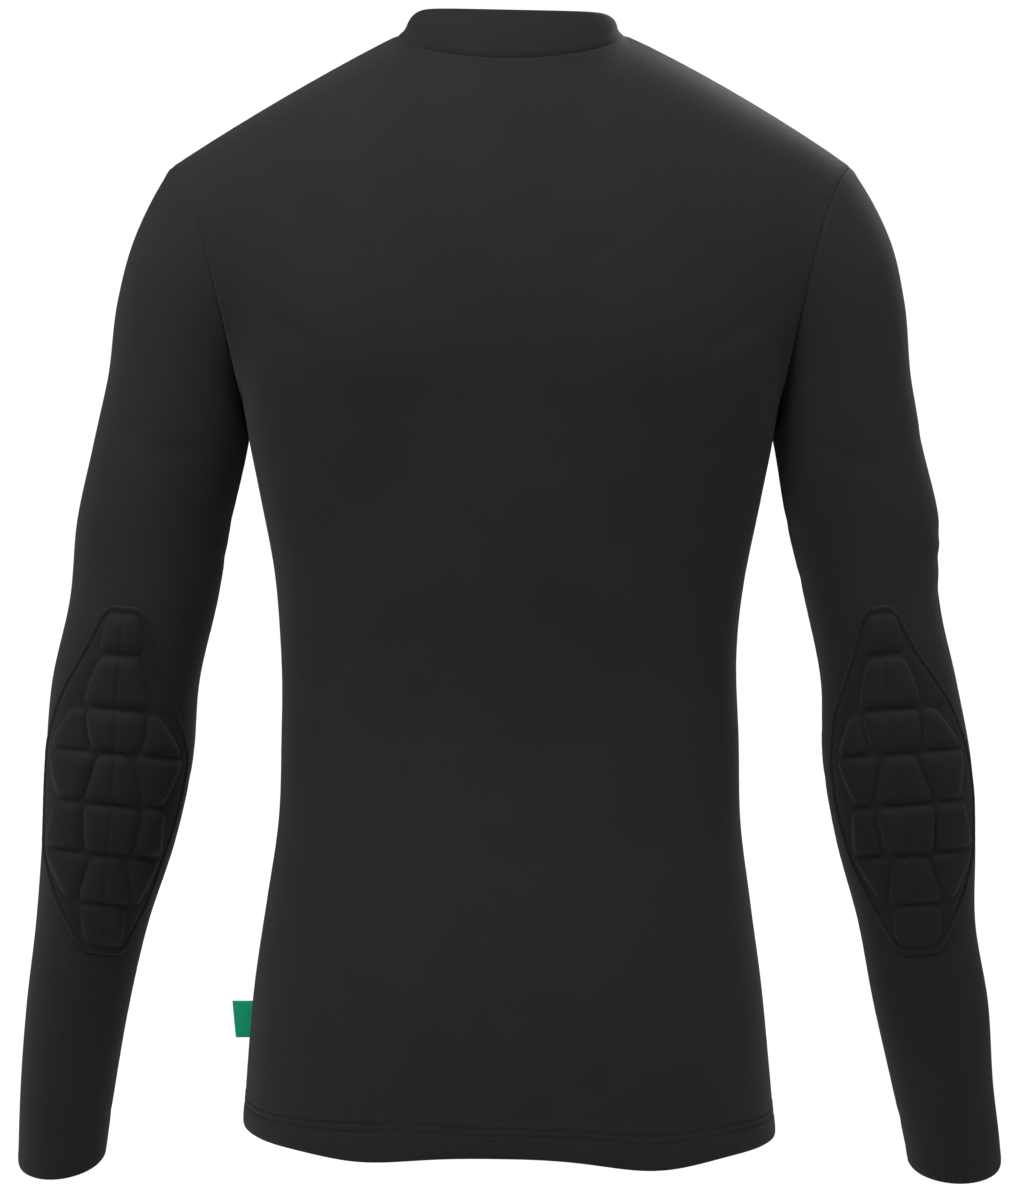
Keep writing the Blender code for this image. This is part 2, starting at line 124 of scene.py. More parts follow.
TORSO = table(
    "z half_width back_depth front_depth squareness",
    (-230, 172.0, 105.0, 122.0, 3.0),
    (-240, 170.0, 104.3, 122.0, 2.95),
    (-256, 167.4, 103.6, 121.8, 2.85),
    (-294, 160.0, 101.8, 119.8, 2.65),
    (-346, 150.0, 98, 113, 2.45),
    (-397, 145.6, 92, 105, 2.35),
    (-448, 146.4, 91, 102, 2.3),
    (-499, 147.8, 97, 104, 2.3),
    (-550, 154.6, 106, 108, 2.3),
    (-602, 161.9, 114, 111, 2.3),
    (-660, 167.2, 118, 112, 2.3),
    (-720, 171.5, 117, 110, 2.3),
)

# Where the middle of the torso stands a little to the wearer's left.
SWAYS = table(
    "z tall shift",
    (-610, 130, 2.0),
    (-385, 45, 1.3),
)

# Waves of the hem's lower edge, and how much deeper the turned band is there.
HEM_WAVE = "x drop width deeper"
HEM_WAVES = {
    BACK: table(HEM_WAVE, (84, 5.0, 42, 0.36), (-83, 8.0, 46, 0.22)),
    FRONT: table(HEM_WAVE, (30, 4.0, 60, 0.12)),
}

Rise = namedtuple(
    "Rise",
    "neck_depth neck_z collar_top_depth collar_top_z depth foot_swell top_swell "
    "top_drop top_drop_centre armhole_in",
)
RISES = {
    BACK: Rise(58, -17.5, 46, 14, 77, 35, 16, 10, 53, 22),
    FRONT: Rise(64, -62, 62, -33, 72, 52, 24, 10, 41, 32),
}

SLEEVE_OUTLINE = table(
    "z outer_left outer_right inner_left inner_right",
    (-82, 218.0, 218.0, 172.0, 172.0),
    (-102, 229.5, 230.4, 172.0, 172.0),
    (-128, 241.3, 242.6, 172.0, 172.0),
    (-166, 251.5, 251.5, 172.0, 172.0),
    (-218, 258.0, 256.0, 172.0, 172.0),
    (-244, 263.6, 260.2, 169.0, 169.0),
    (-256, 266.2, 261.8, 167.4, 167.4),
    (-263, 267.7, 263.4, 168.7, 168.7),
    (-307, 277.0, 273.3, 178.6, 176.0),
    (-358, 281.6, 273.4, 187.4, 187.8),
    (-410, 292.9, 284.4, 199.0, 198.0),
    (-461, 297.4, 294.2, 203.5, 199.4),
    (-512, 300.6, 297.6, 215.0, 208.4),
    (-565, 305.6, 298.8, 233.0, 223.2),
    (-618, 312.9, 308.4, 246.2, 234.0),
    (-671, 318.2, 313.0, 256.5, 246.8),
    (-717, 320.9, 319.0, 264.1, 257.6),
    (-748, 322.0, 320.7, 269.6, 263.0),
)

SLEEVE_DEPTH = table(
    "z centre half",
    (-82, 0, 58.0),
    (-156, 0, 57.0),
    (-256, 2, 55.5),
    (-330, 4, 51.0),
    (-400, 6, 48.5),
    (-461, 2, 47.0),
    (-512, -6, 43.0),
    (-565, -17, 38.0),
    (-618, -30, 34.5),
    (-671, -44, 31.5),
    (-748, -64, 28.5),
)

# Grids of the cloth. Rows and columns crowd together at seams and edges.
NECK_COLUMNS = 40
SIDE_COLUMNS = 44
LOWER_ROWS = 92
UPPER_ROWS = 84
COLLAR_ROWS = 22
SLEEVE_ROWS = 200
SLEEVE_COLUMNS = 132
CUFF_ROWS = 26
CUFF_FROM = 0.972
EDGE_STEPS = (0.06, 0.16, 0.3, 0.5, 0.75, 1.3, 1.6)

# Cloth, seams and hems.
CLOTH_THICK = 1.1
COLLAR_THICK = 2.3
CUFF_THICK = 1.9
HEM_THICK = 2.2
HEM_BAND = 21.0
HEM_CLEAR = 4.0
HEM_STEP = 0.8
HEM_EDGE_SHARPNESS = 2.5
HEM_EDGE_STEP = 0.3
HEM_STITCH_ROWS = (13.6, 17.6)
COLLAR_SEAM_THICK = 1.4
COLLAR_THICKEN_BY = 3.0
COLLAR_WAVE = 0.10
COLLAR_WAVE_LENGTH = 11.0
COLLAR_WAVE_SHIFT = 0.8
COLLAR_EDGE_STEPS = (0.01, 0.025, 0.97, 0.985)
CUFF_BAND = 14.0
CUFF_EDGE_SHARPNESS = 1.5
PUCKER = 0.08
PUCKER_REACH = 6.0

# How near a seam or edge the creases stop.
CREASE_FREE_EDGE = 12.0
HEAD_FREE = 8.0
CUFF_FREE = 6.0
UNDERARM_FREE = 3.0

# Low ridges, and grooves where the height is negative, that run along a seam or an edge.
Ridge = namedtuple("Ridge", "height at width")
SEAM_GROOVE = Ridge(-0.5, 0.0, 1.0)
SEAM_BULGE = Ridge(0.14, 4.2, 1.8)
HEM_RIDGES = [Ridge(-0.38, at, 0.75) for at in HEM_STITCH_ROWS]
HEM_RIDGES += [Ridge(0.35, 6.0, 6.0), Ridge(-0.5, 0.0, 0.8)]
HEM_PUCKER = Ridge(0.12, 12.0, 7.0)
COLLAR_FOLD = Ridge(-0.55, 0.0, 0.9)
COLLAR_FOLD_THINNER = Ridge(-0.8, 0.0, 0.9)
CUFF_FOLD = Ridge(-0.45, 0.0, 0.9)
CUFF_SWELL = Ridge(0.2, 5.0, 4.0)

# The small uneven waves that sewing leaves along a seam.
RIPPLES = table("height length shift", (0.5, 1.31, 0.0), (0.3, 0.83, 1.3), (0.4, 2.9, 0.7))

# Rims of the cloth, and how its sewn edges reach under their neighbours.
RIM_ROUND = 0.35
TUCK_ROWS = 2
TUCK_LENGTH = 1.2
TUCK_SINK = 0.7
ON_PLANE = 1e-6

# Elbow pads: angles are degrees round the sleeve from the middle of its back, outwards.
PAD_LINES = table(
    "z turn_left half_left cell_left turn_right half_right cell_right",
    (-362, 8.5, 16.0, 8.7, -0.8, 13.5, 0.6),
    (-393, 6.0, 31.0, 3.0, -4.0, 30.5, -3.7),
    (-427, 3.0, 55.5, 0.7, -3.0, 57.0, -5.7),
    (-455, 1.5, 73.0, -0.2, 1.0, 67.5, -2.2),
    (-487, 1.5, 72.0, -2.2, 3.0, 70.5, -1.1),
    (-519, 3.5, 67.5, -3.5, 4.5, 66.0, -1.2),
    (-551, -9.0, 51.5, -9.8, 1.5, 48.0, -1.1),
    (-584, -20.0, 25.0, -19.7, -4.0, 21.5, -5.0),
)

# Half widths in millimetres of each row's middle cells from their top to their bottom, and
# how far inside the pad's edge its side cells begin at their top and bottom.
PAD_ROWS = table(
    "top upper lower bottom height side_height side_top side_bottom split",
    (11.0, 12.8, 14.2, 14.8, 3.0, 0.0, 0, 0, 0.22),
    (12.4, 17.0, 20.6, 21.8, 3.7, 0.0, 0, 0, 0.30),
    (19.6, 19.0, 17.0, 14.0, 4.0, 3.5, 19.0, 10.0, 0.40),
    (10.4, 13.2, 16.2, 18.4, 4.0, 3.6, 9.0, 21.0, 0.24),
    (17.8, 17.2, 15.6, 13.6, 4.0, 3.5, 18.0, 6.5, 0.34),
    (9.8, 12.8, 15.6, 17.2, 3.7, 3.1, 6.0, 11.0, 0.24),
    (15.8, 15.3, 14.4, 12.8, 2.9, 0.0, 0, 0, 0.16),
)
PAD_STEP = 1.2
PAD_COLUMNS = 127
PAD_SLANT = 4.0
PAD_FLANGE = 1.2
PAD_EDGE_ROUND = 1.4
PAD_BORDER = 5.0
PAD_LIP = Ridge(0.75, 2.0, 1.3)
PAD_LIP_FROM = 0.3
PAD_STITCH_AT = 4.2
PAD_SEAM_GROOVE = Ridge(-0.35, PAD_STITCH_AT, 0.8)
PAD_PUCKER = Ridge(0.06, 3.0, 3.0)
PAD_LIFT = 0.05
PAD_SINK = 0.45
PAD_GROOVE = 1.1
PAD_MIDDLE_GROOVE = 0.45
PAD_WING_GROOVE = 0.72
PAD_ROUND = 9.5
PAD_CORNER = 2.1
PAD_SPLIT_WIDTH = 1.5
PAD_WING = 0.9
PAD_WING_OVER = 2.0
PAD_WING_IN = 1.0
PAD_END_ROUND = 9.0
PAD_END_NARROW = 0.34
PAD_END_POWER = 2.2
PAD_EDGE_CORNER = 0.4
PAD_LINE_ROUNDING = (-4.5, -1.5, 1.5, 4.5)
PAD_END_STEPS = (0.0, 0.25, 0.55)
PAD_SIDE_STEPS = (-0.997, -0.992, 0.992, 0.997)
PUFF_START = 2.4
PUFF_POWER = 0.62
CELL_STATIONS = (0, 0.35, 0.7, 1)
CELL_UNEVEN = 0.06
SIDE_CELL_UNEVEN = 0.08
BISECTIONS = 26
PROBE = 0.002


# Curves and sections.


def unit(vectors):
    """Each vector at length one."""
    return vectors / np.maximum(np.linalg.norm(vectors, axis=-1, keepdims=True), 1e-12)


def along(table, column, at):
    """A column of a table read at the heights given, as a smooth curve through its rows."""
    rows = sorted(table, key=lambda row: row.z)
    z = np.array([row.z for row in rows], float)
    value = np.array([getattr(row, column) for row in rows], float)
    slope = np.gradient(value, z)
    at = np.clip(np.asarray(at, float), z[0], z[-1])
    i = np.clip(np.searchsorted(z, at) - 1, 0, len(z) - 2)
    span = z[i + 1] - z[i]
    f = (at - z[i]) / span
    start = value[i] * (1 + 2 * f) * (1 - f) ** 2 + slope[i] * span * f * (1 - f) ** 2
    return start + value[i + 1] * f**2 * (3 - 2 * f) + slope[i + 1] * span * f**2 * (f - 1)


def bezier(a, b, c, d, t):
    """A point on the cubic curve with four control points."""
    return a * (1 - t) ** 3 + 3 * b * t * (1 - t) ** 2 + 3 * c * t**2 * (1 - t) + d * t**3


def point(x, y, z):
    """One array of points from three arrays that broadcast together."""
    return np.stack(np.broadcast_arrays(x, y, z), -1)


def bump(x, width):
    """A soft rise that is 1 at zero."""
    return np.exp(-((x / width) ** 2))


def ridge(off, form):
    """The height of a ridge or groove at a distance from its seam or edge."""
    return form.height * bump(off - form.at, form.width)


def torso_ring(z, angle, side):
    """Points round half of the torso, from the right side seam to the left one."""
    half = along(TORSO, "half_width", z)
    depth = along(TORSO, "back_depth" if side == BACK else "front_depth", z)
    power = 2 / along(TORSO, "squareness", z)
    x = half * np.sign(angle) * np.abs(np.sin(angle)) ** power
    x = x + sum(sway.shift * bump(z - sway.z, sway.tall) for sway in SWAYS)
    y = side * depth * np.abs(np.cos(angle)) ** power
    return point(x, y, z)


def top_edge(angle, side):
    """The neckline and the shoulder seams, at the same angles as the ring below."""
    rise = RISES[side]
    share = np.abs(angle) / QUARTER
    turn = np.minimum(share / NECK_SHARE, 1.0) * QUARTER
    f = np.clip((share - NECK_SHARE) / (1 - NECK_SHARE), 0, 1)
    x = NECK_HALF_WIDTH * np.sin(turn) + f * (SHOULDER_X - NECK_HALF_WIDTH)
    y = side * rise.neck_depth * np.cos(turn) * (share < NECK_SHARE - 1e-9)
    z = NECK_SIDE_Z + (rise.neck_z - NECK_SIDE_Z) * np.abs(np.cos(turn)) ** NECK_CURVE
    arch = np.where(angle > 0, LEFT_SHOULDER_ARCH, RIGHT_SHOULDER_ARCH)
    arch = arch * np.clip(np.sin(np.pi * f), 0, 1) ** SHOULDER_ARCH_POWER
    z = z + f * (SHOULDER_Z - NECK_SIDE_Z) + arch
    return point(np.sign(angle) * x, y, z)


def soft_edge(angle, side):
    """The top edge with its corners at the neck rounded off, as the cloth below it lies."""
    share = np.abs(angle) / QUARTER
    spread = NECK_ROUNDING * np.sqrt(np.clip(1 - share, 0, 1)) * QUARTER
    steps = np.linspace(-SOFT_REACH, SOFT_REACH, SOFT_STEPS)
    weight = np.exp(-(steps**2) / 2)
    total = sum(w * top_edge(angle + k * spread, side) for k, w in zip(steps, weight))
    return total / weight.sum()


def upper_panel(angle, side, t):
    """The panel above the underarm: columns that climb from the ring to the top edge."""
    rise = RISES[side]
    foot = torso_ring(UNDERARM_Z, angle, side)
    sharp = top_edge(angle, side)
    head = soft_edge(angle, side)
    s = np.abs(np.sin(angle))
    c = np.abs(np.cos(angle))
    first = point(
        foot[..., 0],
        side * (rise.depth + rise.foot_swell * c**FOOT_SWELL_FADE),
        foot[..., 2] + FOOT_RISE - ARMHOLE_DIP * s**DIP_REACH,
    )
    second = point(
        head[..., 0] - np.sign(angle) * rise.armhole_in * s**ARMHOLE_REACH,
        side * (rise.depth + rise.top_swell * c**TOP_SWELL_FADE),
        head[..., 2] - rise.top_drop - rise.top_drop_centre * c**2,
    )
    t = np.asarray(t, float)[..., None]
    return bezier(foot, first, second, head, t) + (sharp - head) * np.exp((t - 1) / NECK_FADE)


def hem_height(x, side):
    """The hem's height: a little higher at the wearer's left, with soft waves."""
    height = HEM_Z + HEM_SIDE_RISE * x / HEM_HALF_WIDTH
    fade = 1 - (x / HEM_HALF_WIDTH) ** HEM_FADE
    height = height - HEM_DROP * fade + HEM_CORNER_RISE * (x / HEM_HALF_WIDTH) ** HEM_CORNER_POWER
    height = height + HEM_LEFT_RISE * np.clip(x / HEM_HALF_WIDTH, 0, 1) ** HEM_LEFT_POWER
    for wave in HEM_WAVES[side]:
        height = height - wave.drop * fade * bump(x - wave.x, wave.width)
    return height


def hem_depth(x, side):
    """How deep the turned band is, as a share of its usual depth."""
    return 1 + sum(wave.deeper * bump(x - wave.x, wave.width) for wave in HEM_WAVES[side])


def plain_sleeve(side, s, phi):
    """A sleeve's oval sections before its head is fitted to the armhole."""
    name = "left" if side > 0 else "right"
    cuff_z = CUFF_Z - (0.0 if side > 0 else RIGHT_CUFF_DROP)
    inner_z = UNDERARM_Z + (cuff_z - UNDERARM_Z) * s**SLEEVE_SPREAD
    turned = np.clip((UNDERARM_Z - inner_z) / HEAD_TURN, 0, 1)
    cuff_tilt = LEFT_CUFF_TILT if side > 0 else RIGHT_CUFF_TILT
    tilt = SLEEVE_TILT + (cuff_tilt - SLEEVE_TILT) * s**2
    head = SHOULDER_Z - UNDERARM_Z - SLEEVE_TILT
    outer_z = inner_z + tilt + head * (1 - turned) ** 2
    outer_x = along(SLEEVE_OUTLINE, "outer_" + name, outer_z)
    inner_x = along(SLEEVE_OUTLINE, "inner_" + name, inner_z)
    z = (outer_z + inner_z) / 2
    centre = along(SLEEVE_DEPTH, "centre", z)
    half = along(SLEEVE_DEPTH, "half", z)
    pitch = along(SLEEVE_DEPTH, "centre", z + 1) - along(SLEEVE_DEPTH, "centre", z - 1)
    lean = np.arctan(pitch / 2)
    slant = CUFF_SLANT * np.clip((s - CUFF_SLANT_FROM) / (1 - CUFF_SLANT_FROM), 0, 1) ** 2
    x = (outer_x + inner_x) / 2 + (outer_x - inner_x) / 2 * np.cos(phi)
    y = centre + half * np.cos(lean) * np.sin(phi)
    up = (outer_z - inner_z) / 2 * np.cos(phi) - (half * np.sin(lean) + slant) * np.sin(phi)
    return point(x, y, z + up)


def armhole(phi):
    """The wearer's left armhole: its top at 0, its back at 90 and its underarm at 180."""
    phi = np.mod(phi, 2 * np.pi)
    quarter = np.full(np.shape(phi), QUARTER)
    back = upper_panel(quarter, BACK, np.clip(1 - phi / np.pi, 0, 1))
    front = upper_panel(quarter, FRONT, np.clip(phi / np.pi - 1, 0, 1))
    return np.where((phi <= np.pi)[..., None], back, front)


def sleeve_point(side, s, phi):
    """Points on a sleeve's outside, s from 0 at the armhole to 1 at the cuff."""
    s, phi = np.broadcast_arrays(np.asarray(s, float), np.asarray(phi, float))
    fitted = armhole(phi) - plain_sleeve(side, np.zeros_like(s), phi)
    share = (1 - np.clip(s / HEAD_BLEND, 0, 1)) ** 2
    made = plain_sleeve(side, s, phi) + fitted * share[..., None]
    return made * (side, 1, 1)


def station_at(side, height, phi):
    """Where along the sleeve its surface is at the height given, by halving."""
    low = np.zeros_like(height)
    high = np.ones_like(height)
    for _ in range(BISECTIONS):
        middle = (low + high) / 2
        above = sleeve_point(side, middle, phi)[..., 2] > height
        low = np.where(above, middle, low)
        high = np.where(above, high, middle)
    return (low + high) / 2


# Soft creases, placed one by one. A negative depth is a trough.

CREASE = "x z turn length width depth"
PANEL_CREASES = {
    BACK: table(
        CREASE,
        (138, -196, 38, 46, 7.0, -1.3),
        (124, -222, 24, 52, 8.0, -0.9),
        (131, -252, 8, 38, 6.0, -0.6),
        (-140, -192, -41, 42, 6.5, -1.2),
        (-122, -226, -22, 56, 8.5, -1.0),
        (-128, -262, -6, 34, 5.5, -0.5),
        (96, -392, -12, 54, 10.0, -0.6),
        (-104, -412, 10, 60, 11.0, -0.7),
        (60, -452, 6, 70, 12.0, 0.5),
        (-48, -610, 74, 80, 14.0, -0.8),
        (92, -640, -80, 66, 13.0, -0.7),
        (-110, -655, 82, 52, 12.0, 0.8),
    ),
    FRONT: table(
        CREASE,
        (134, -188, 44, 48, 7.5, -1.4),
        (120, -218, 26, 54, 8.0, -1.0),
        (-136, -192, -40, 44, 7.0, -1.3),
        (-118, -224, -24, 50, 8.5, -0.9),
        (88, -402, -10, 58, 10.0, -0.7),
        (-96, -388, 14, 52, 9.0, -0.8),
        (30, -430, 4, 66, 12.0, -0.5),
        (44, -640, -76, 64, 13.0, -0.8),
        (-74, -632, 80, 70, 14.0, -0.7),
    ),
}

CREASE_WAVE = 0.5
CREASE_REACH = 0.62

# Broad soft swellings and hollows of the filled-out cloth.
FORM = "x z wide tall height"
PANEL_FORMS = {
    BACK: table(
        FORM,
        (90, -312, 44, 58, -4.0),
        (-88, -316, 42, 56, -3.8),
        (96, -196, 52, 52, 2.4),
        (-96, -198, 52, 52, 2.2),
        (0, -300, 34, 70, 1.2),
        (6, -470, 70, 90, 1.2),
    ),
    FRONT: table(
        FORM,
        (82, -196, 56, 50, 2.2),
        (-84, -198, 56, 50, 2.2),
        (0, -196, 18, 70, -1.4),
        (0, -330, 70, 50, -1.6),
    ),
}

# On a sleeve, x is the angle in degrees: 0 outside, 90 back, 180 under, 270 front.
LEFT_CREASES = table(
    CREASE,
    (96, -262, -6, 46, 6.5, -0.9),
    (60, -250, 12, 34, 6.0, -0.6),
    (140, -282, -14, 30, 5.0, -0.8),
    (168, -300, -20, 26, 4.5, -0.9),
    (172, -330, -12, 24, 4.5, -0.8),
    (268, -424, 4, 44, 5.0, -1.5),
    (252, -442, -8, 38, 4.5, -1.3),
    (276, -462, 6, 50, 5.5, -1.8),
    (262, -484, -4, 40, 4.5, -1.4),
    (284, -500, 9, 34, 4.5, -1.1),
    (214, -452, 12, 26, 4.0, -0.9),
    (205, -478, -10, 24, 4.0, -0.8),
    (120, -640, 8, 26, 5.0, -0.5),
    (60, -664, -10, 24, 4.5, -0.5),
    (250, -672, 6, 28, 4.5, -0.7),
    (300, -650, -8, 26, 4.5, -0.6),
    (190, -688, 10, 20, 4.0, -0.6),
)
RIGHT_CREASES = table(
    CREASE,
    (14, -312, 6, 26, 6.0, -1.0),
    (10, -334, -8, 24, 5.5, -1.1),
    (18, -352, 5, 20, 5.0, -0.7),
    (92, -268, 8, 42, 6.5, -0.8),
    (142, -290, 14, 30, 5.0, -0.8),
    (170, -312, 18, 26, 4.5, -0.9),
    (174, -344, 10, 24, 4.5, -0.7),
    (262, -420, -5, 42, 5.0, -1.4),
    (280, -440, 7, 40, 4.5, -1.2),
    (258, -458, -3, 48, 5.5, -1.8),
    (274, -480, 5, 42, 4.5, -1.5),
    (250, -498, -9, 32, 4.5, -1.0),
    (210, -446, -12, 26, 4.0, -0.9),
    (202, -470, 10, 22, 4.0, -0.8),
    (110, -648, -8, 26, 5.0, -0.5),
    (66, -630, 9, 24, 4.5, -0.4),
    (262, -664, -6, 28, 4.5, -0.7),
    (306, -640, 8, 24, 4.5, -0.5),
    (186, -694, -9, 20, 4.0, -0.6),
)


def creased(across, up, crease):
    """How far one crease moves points that lie across and up from its middle."""
    turn = np.radians(crease.turn)
    run = across * np.cos(turn) + up * np.sin(turn)
    off = up * np.cos(turn) - across * np.sin(turn)
    off = off + crease.width * CREASE_WAVE * np.sin(run / crease.length * 2 + crease.z)
    return crease.depth * bump(off, crease.width) * bump(run, crease.length * CREASE_REACH)


# Walls of cloth.


def grid_normals(grid, around, outward):
    """The outward direction at each point of a grid."""
    down = np.gradient(grid, axis=0)
    if around:
        across = np.roll(grid, -1, 1) - np.roll(grid, 1, 1)
    else:
        across = np.gradient(grid, axis=1)
    return unit(np.cross(across, down)) * outward


def run_lengths(grid, axis):
    """Distance along a grid's lines from their first points."""
    steps = np.linalg.norm(np.diff(grid, axis=axis), axis=-1)
    first = np.zeros_like(np.take(steps, [0], axis))
    return np.concatenate([first, np.cumsum(steps, axis)], axis)


def puckered(run):
    """The height of a seam's ripples along it."""
    return sum(wave.height * np.sin(run / wave.length + wave.shift) for wave in RIPPLES)


def seam_relief(off, run):
    """A sewn seam: a narrow groove, a low swelling beside it and slight puckers."""
    sewn = ridge(off, SEAM_GROOVE) + ridge(off, SEAM_BULGE)
    return sewn + PUCKER * puckered(run) * np.exp(-off / PUCKER_REACH)


def joined(outer, inner, rims, rim):
    """The rows of a wall in order: down its outside and back up its inside."""
    layers = [outer]
    if "end" in rims:
        layers.append(rim(outer, inner, -1))
    layers.append(inner[::-1])
    if "start" in rims:
        layers.append(rim(outer, inner, 0))
    return np.concatenate(layers)


def same_rim(outer, inner, row):
    """A rim's own knit coordinates, which are those of the row beside it."""
    return outer[row][None]


def rounded_rim(outer, inner, row):
    """One row of points that rounds a rim between its outer and inner edges."""
    inside = 1 if row == 0 else -2
    out = unit(outer[row] - outer[inside])
    thick = np.linalg.norm(outer[row] - inner[row], axis=-1, keepdims=True)
    return ((outer[row] + inner[row]) / 2 + out * thick * RIM_ROUND)[None]


def wall(name, outer, inner, around, knit, rims, material):
    """A closed wall of cloth between two grids, its free rims rounded."""
    points = joined(outer, inner, rims, rounded_rim)
    knit = np.stack(np.broadcast_arrays(*knit, 0.0), -1)
    knit = joined(knit, knit, rims, same_rim)
    rows, columns = points.shape[:2]
    i = np.arange(rows)[:, None]
    j = np.arange(columns if around else columns - 1)[None, :]
    below = (i + 1) % rows
    beside = (j + 1) % columns
    corners = [i * columns + j, i * columns + beside, below * columns + beside, below * columns + j]
    faces = np.stack(np.broadcast_arrays(*corners), -1).reshape(-1, 4).tolist()
    if not around:
        faces += side_faces(len(outer), rows, columns, rims)
    return add_mesh(name, points.reshape(-1, 3), faces, material, knit.reshape(-1, 3))


def side_faces(count, rows, columns, rims):
    """The faces that close a wall's two sides, its rounded rims too."""
    back = rows - 1 - ("start" in rims)
    strips = [(k, k + 1, back - k - 1, back - k) for k in range(count - 1)]
    if "end" in rims:
        strips.append((count - 1, count, count + 1))
    if "start" in rims:
        strips.append((0, rows - 2, rows - 1))
    faces = [[row * columns for row in strip] for strip in strips]
    return faces + [[row * columns + columns - 1 for row in reversed(strip)] for strip in strips]


def tucked(outer, inner, normals, knit, length, sink):
    """A wall's first edge carried on under the cloth that it is sewn to."""
    for _ in range(TUCK_ROWS):
        back = unit(outer[0] - outer[1]) * length - normals[0] * sink
        outer = np.concatenate([(outer[0] + back)[None], outer])
        inner = np.concatenate([(inner[0] + back)[None], inner])
        knit = [np.concatenate([part[:1] * 1.0, part]) for part in np.broadcast_arrays(*knit)]
        knit[1][0] -= length
    return outer, inner, knit


def seam_normals(base, normals):
    """Normals that lie in the middle plane where the back and the front meet in it."""
    middle = np.abs(base[..., 1]) < ON_PLANE
    normals[middle, 1] = 0.0
    return unit(normals)


def add_mesh(name, points, faces, material, knit=None):
    """A smooth mesh in metres, its faces turned outwards, with its knit's own coordinates."""
    mesh = bpy.data.meshes.new(name)
    mesh.from_pydata((points * MM).tolist(), [], faces)
    mesh.validate()
    if knit is not None:
        layer = mesh.attributes.new("knit", "FLOAT_VECTOR", "POINT")
        layer.data.foreach_set("vector", (knit * MM).astype(np.float32).ravel())
    mesh.shade_smooth()
    mesh.materials.append(material)
    turn_outwards(mesh)
    return placed(name, mesh)


def placed(name, data):
    """A new object in the scene."""
    item = bpy.data.objects.new(name, data)
    bpy.context.scene.collection.objects.link(item)
    return item


def turn_outwards(mesh):
    """Flip a closed mesh whose faces point in."""
    mesh.calc_loop_triangles()
    points = np.zeros(len(mesh.vertices) * 3)
    mesh.vertices.foreach_get("co", points)
    corners = np.zeros(len(mesh.loop_triangles) * 3, np.int32)
    mesh.loop_triangles.foreach_get("vertices", corners)
    a, b, c = (points.reshape(-1, 3)[corners.reshape(-1, 3)[:, k]] for k in range(3))
    if (a * np.cross(b, c)).sum() < 0:
        mesh.flip_normals()


# Materials.

Finish = namedtuple("Finish", "roughness sheen sheen_roughness specular")
THREAD_FINISH = Finish(0.6, 0.08, 0.4, 0.25)
TAPE_FINISH = Finish(0.5, 0.08, 0.35, 0.3)
FLOOR_FINISH = Finish(0.9, 0.0, 0.5, 0.2)

Knit = namedtuple("Knit", "name finish dark light relief")
CLOTH = Knit(
    "cloth_knit",
    Finish(0.74, 0.10, 0.5, 0.22),
    (0.0140, 0.0140, 0.0145, 1),
    (0.0195, 0.0195, 0.0200, 1),
    0.5,
)
PAD_CLOTH = Knit(
    "pad_knit",
    Finish(0.74, 0.11, 0.5, 0.22),
    (0.0100, 0.0100, 0.0105, 1),
    (0.0142, 0.0142, 0.0147, 1),
    0.45,
)
THREAD_DARK = (0.007, 0.007, 0.008, 1)
THREAD_LIGHT = (0.016, 0.016, 0.017, 1)
TAPE_DARK = (0.002, 0.400, 0.190, 1)
TAPE_LIGHT = (0.006, 0.540, 0.270, 1)

# Sizes and depths in metres, and the shares that patterns and painted shade have in a colour.
WALE = 0.00085
COURSE = 0.0007
LEG_LIFT = 1.6
LEG_SHARE = 0.38
LOOP_DEPTH = 0.00025
LOOP_SHADE_SHARE = 0.15
RUMPLE = 0.22
RUMPLE_DEPTH = 0.0006
TAPE_WARP = 0.0007
TAPE_WEFT = 0.0005
TAPE_RELIEF = 0.35
TAPE_DEPTH = 0.00015
WEAVE_SHADE_SHARE = 0.4
THREAD_RELIEF = 0.4
THREAD_DEPTH = 0.0001

Noise = namedtuple("Noise", "scale detail share")
DYE_NOISES = [Noise(22.0, 3.0, 0.55), Noise(420.0, 2.0, 0.3)]
RUMPLE_NOISE = Noise(130.0, 3.0, 1.0)
TWIST_NOISE = Noise(2600.0, 1.0, 1.0)
TAPE_NOISE = Noise(300.0, 2.0, 0.6)


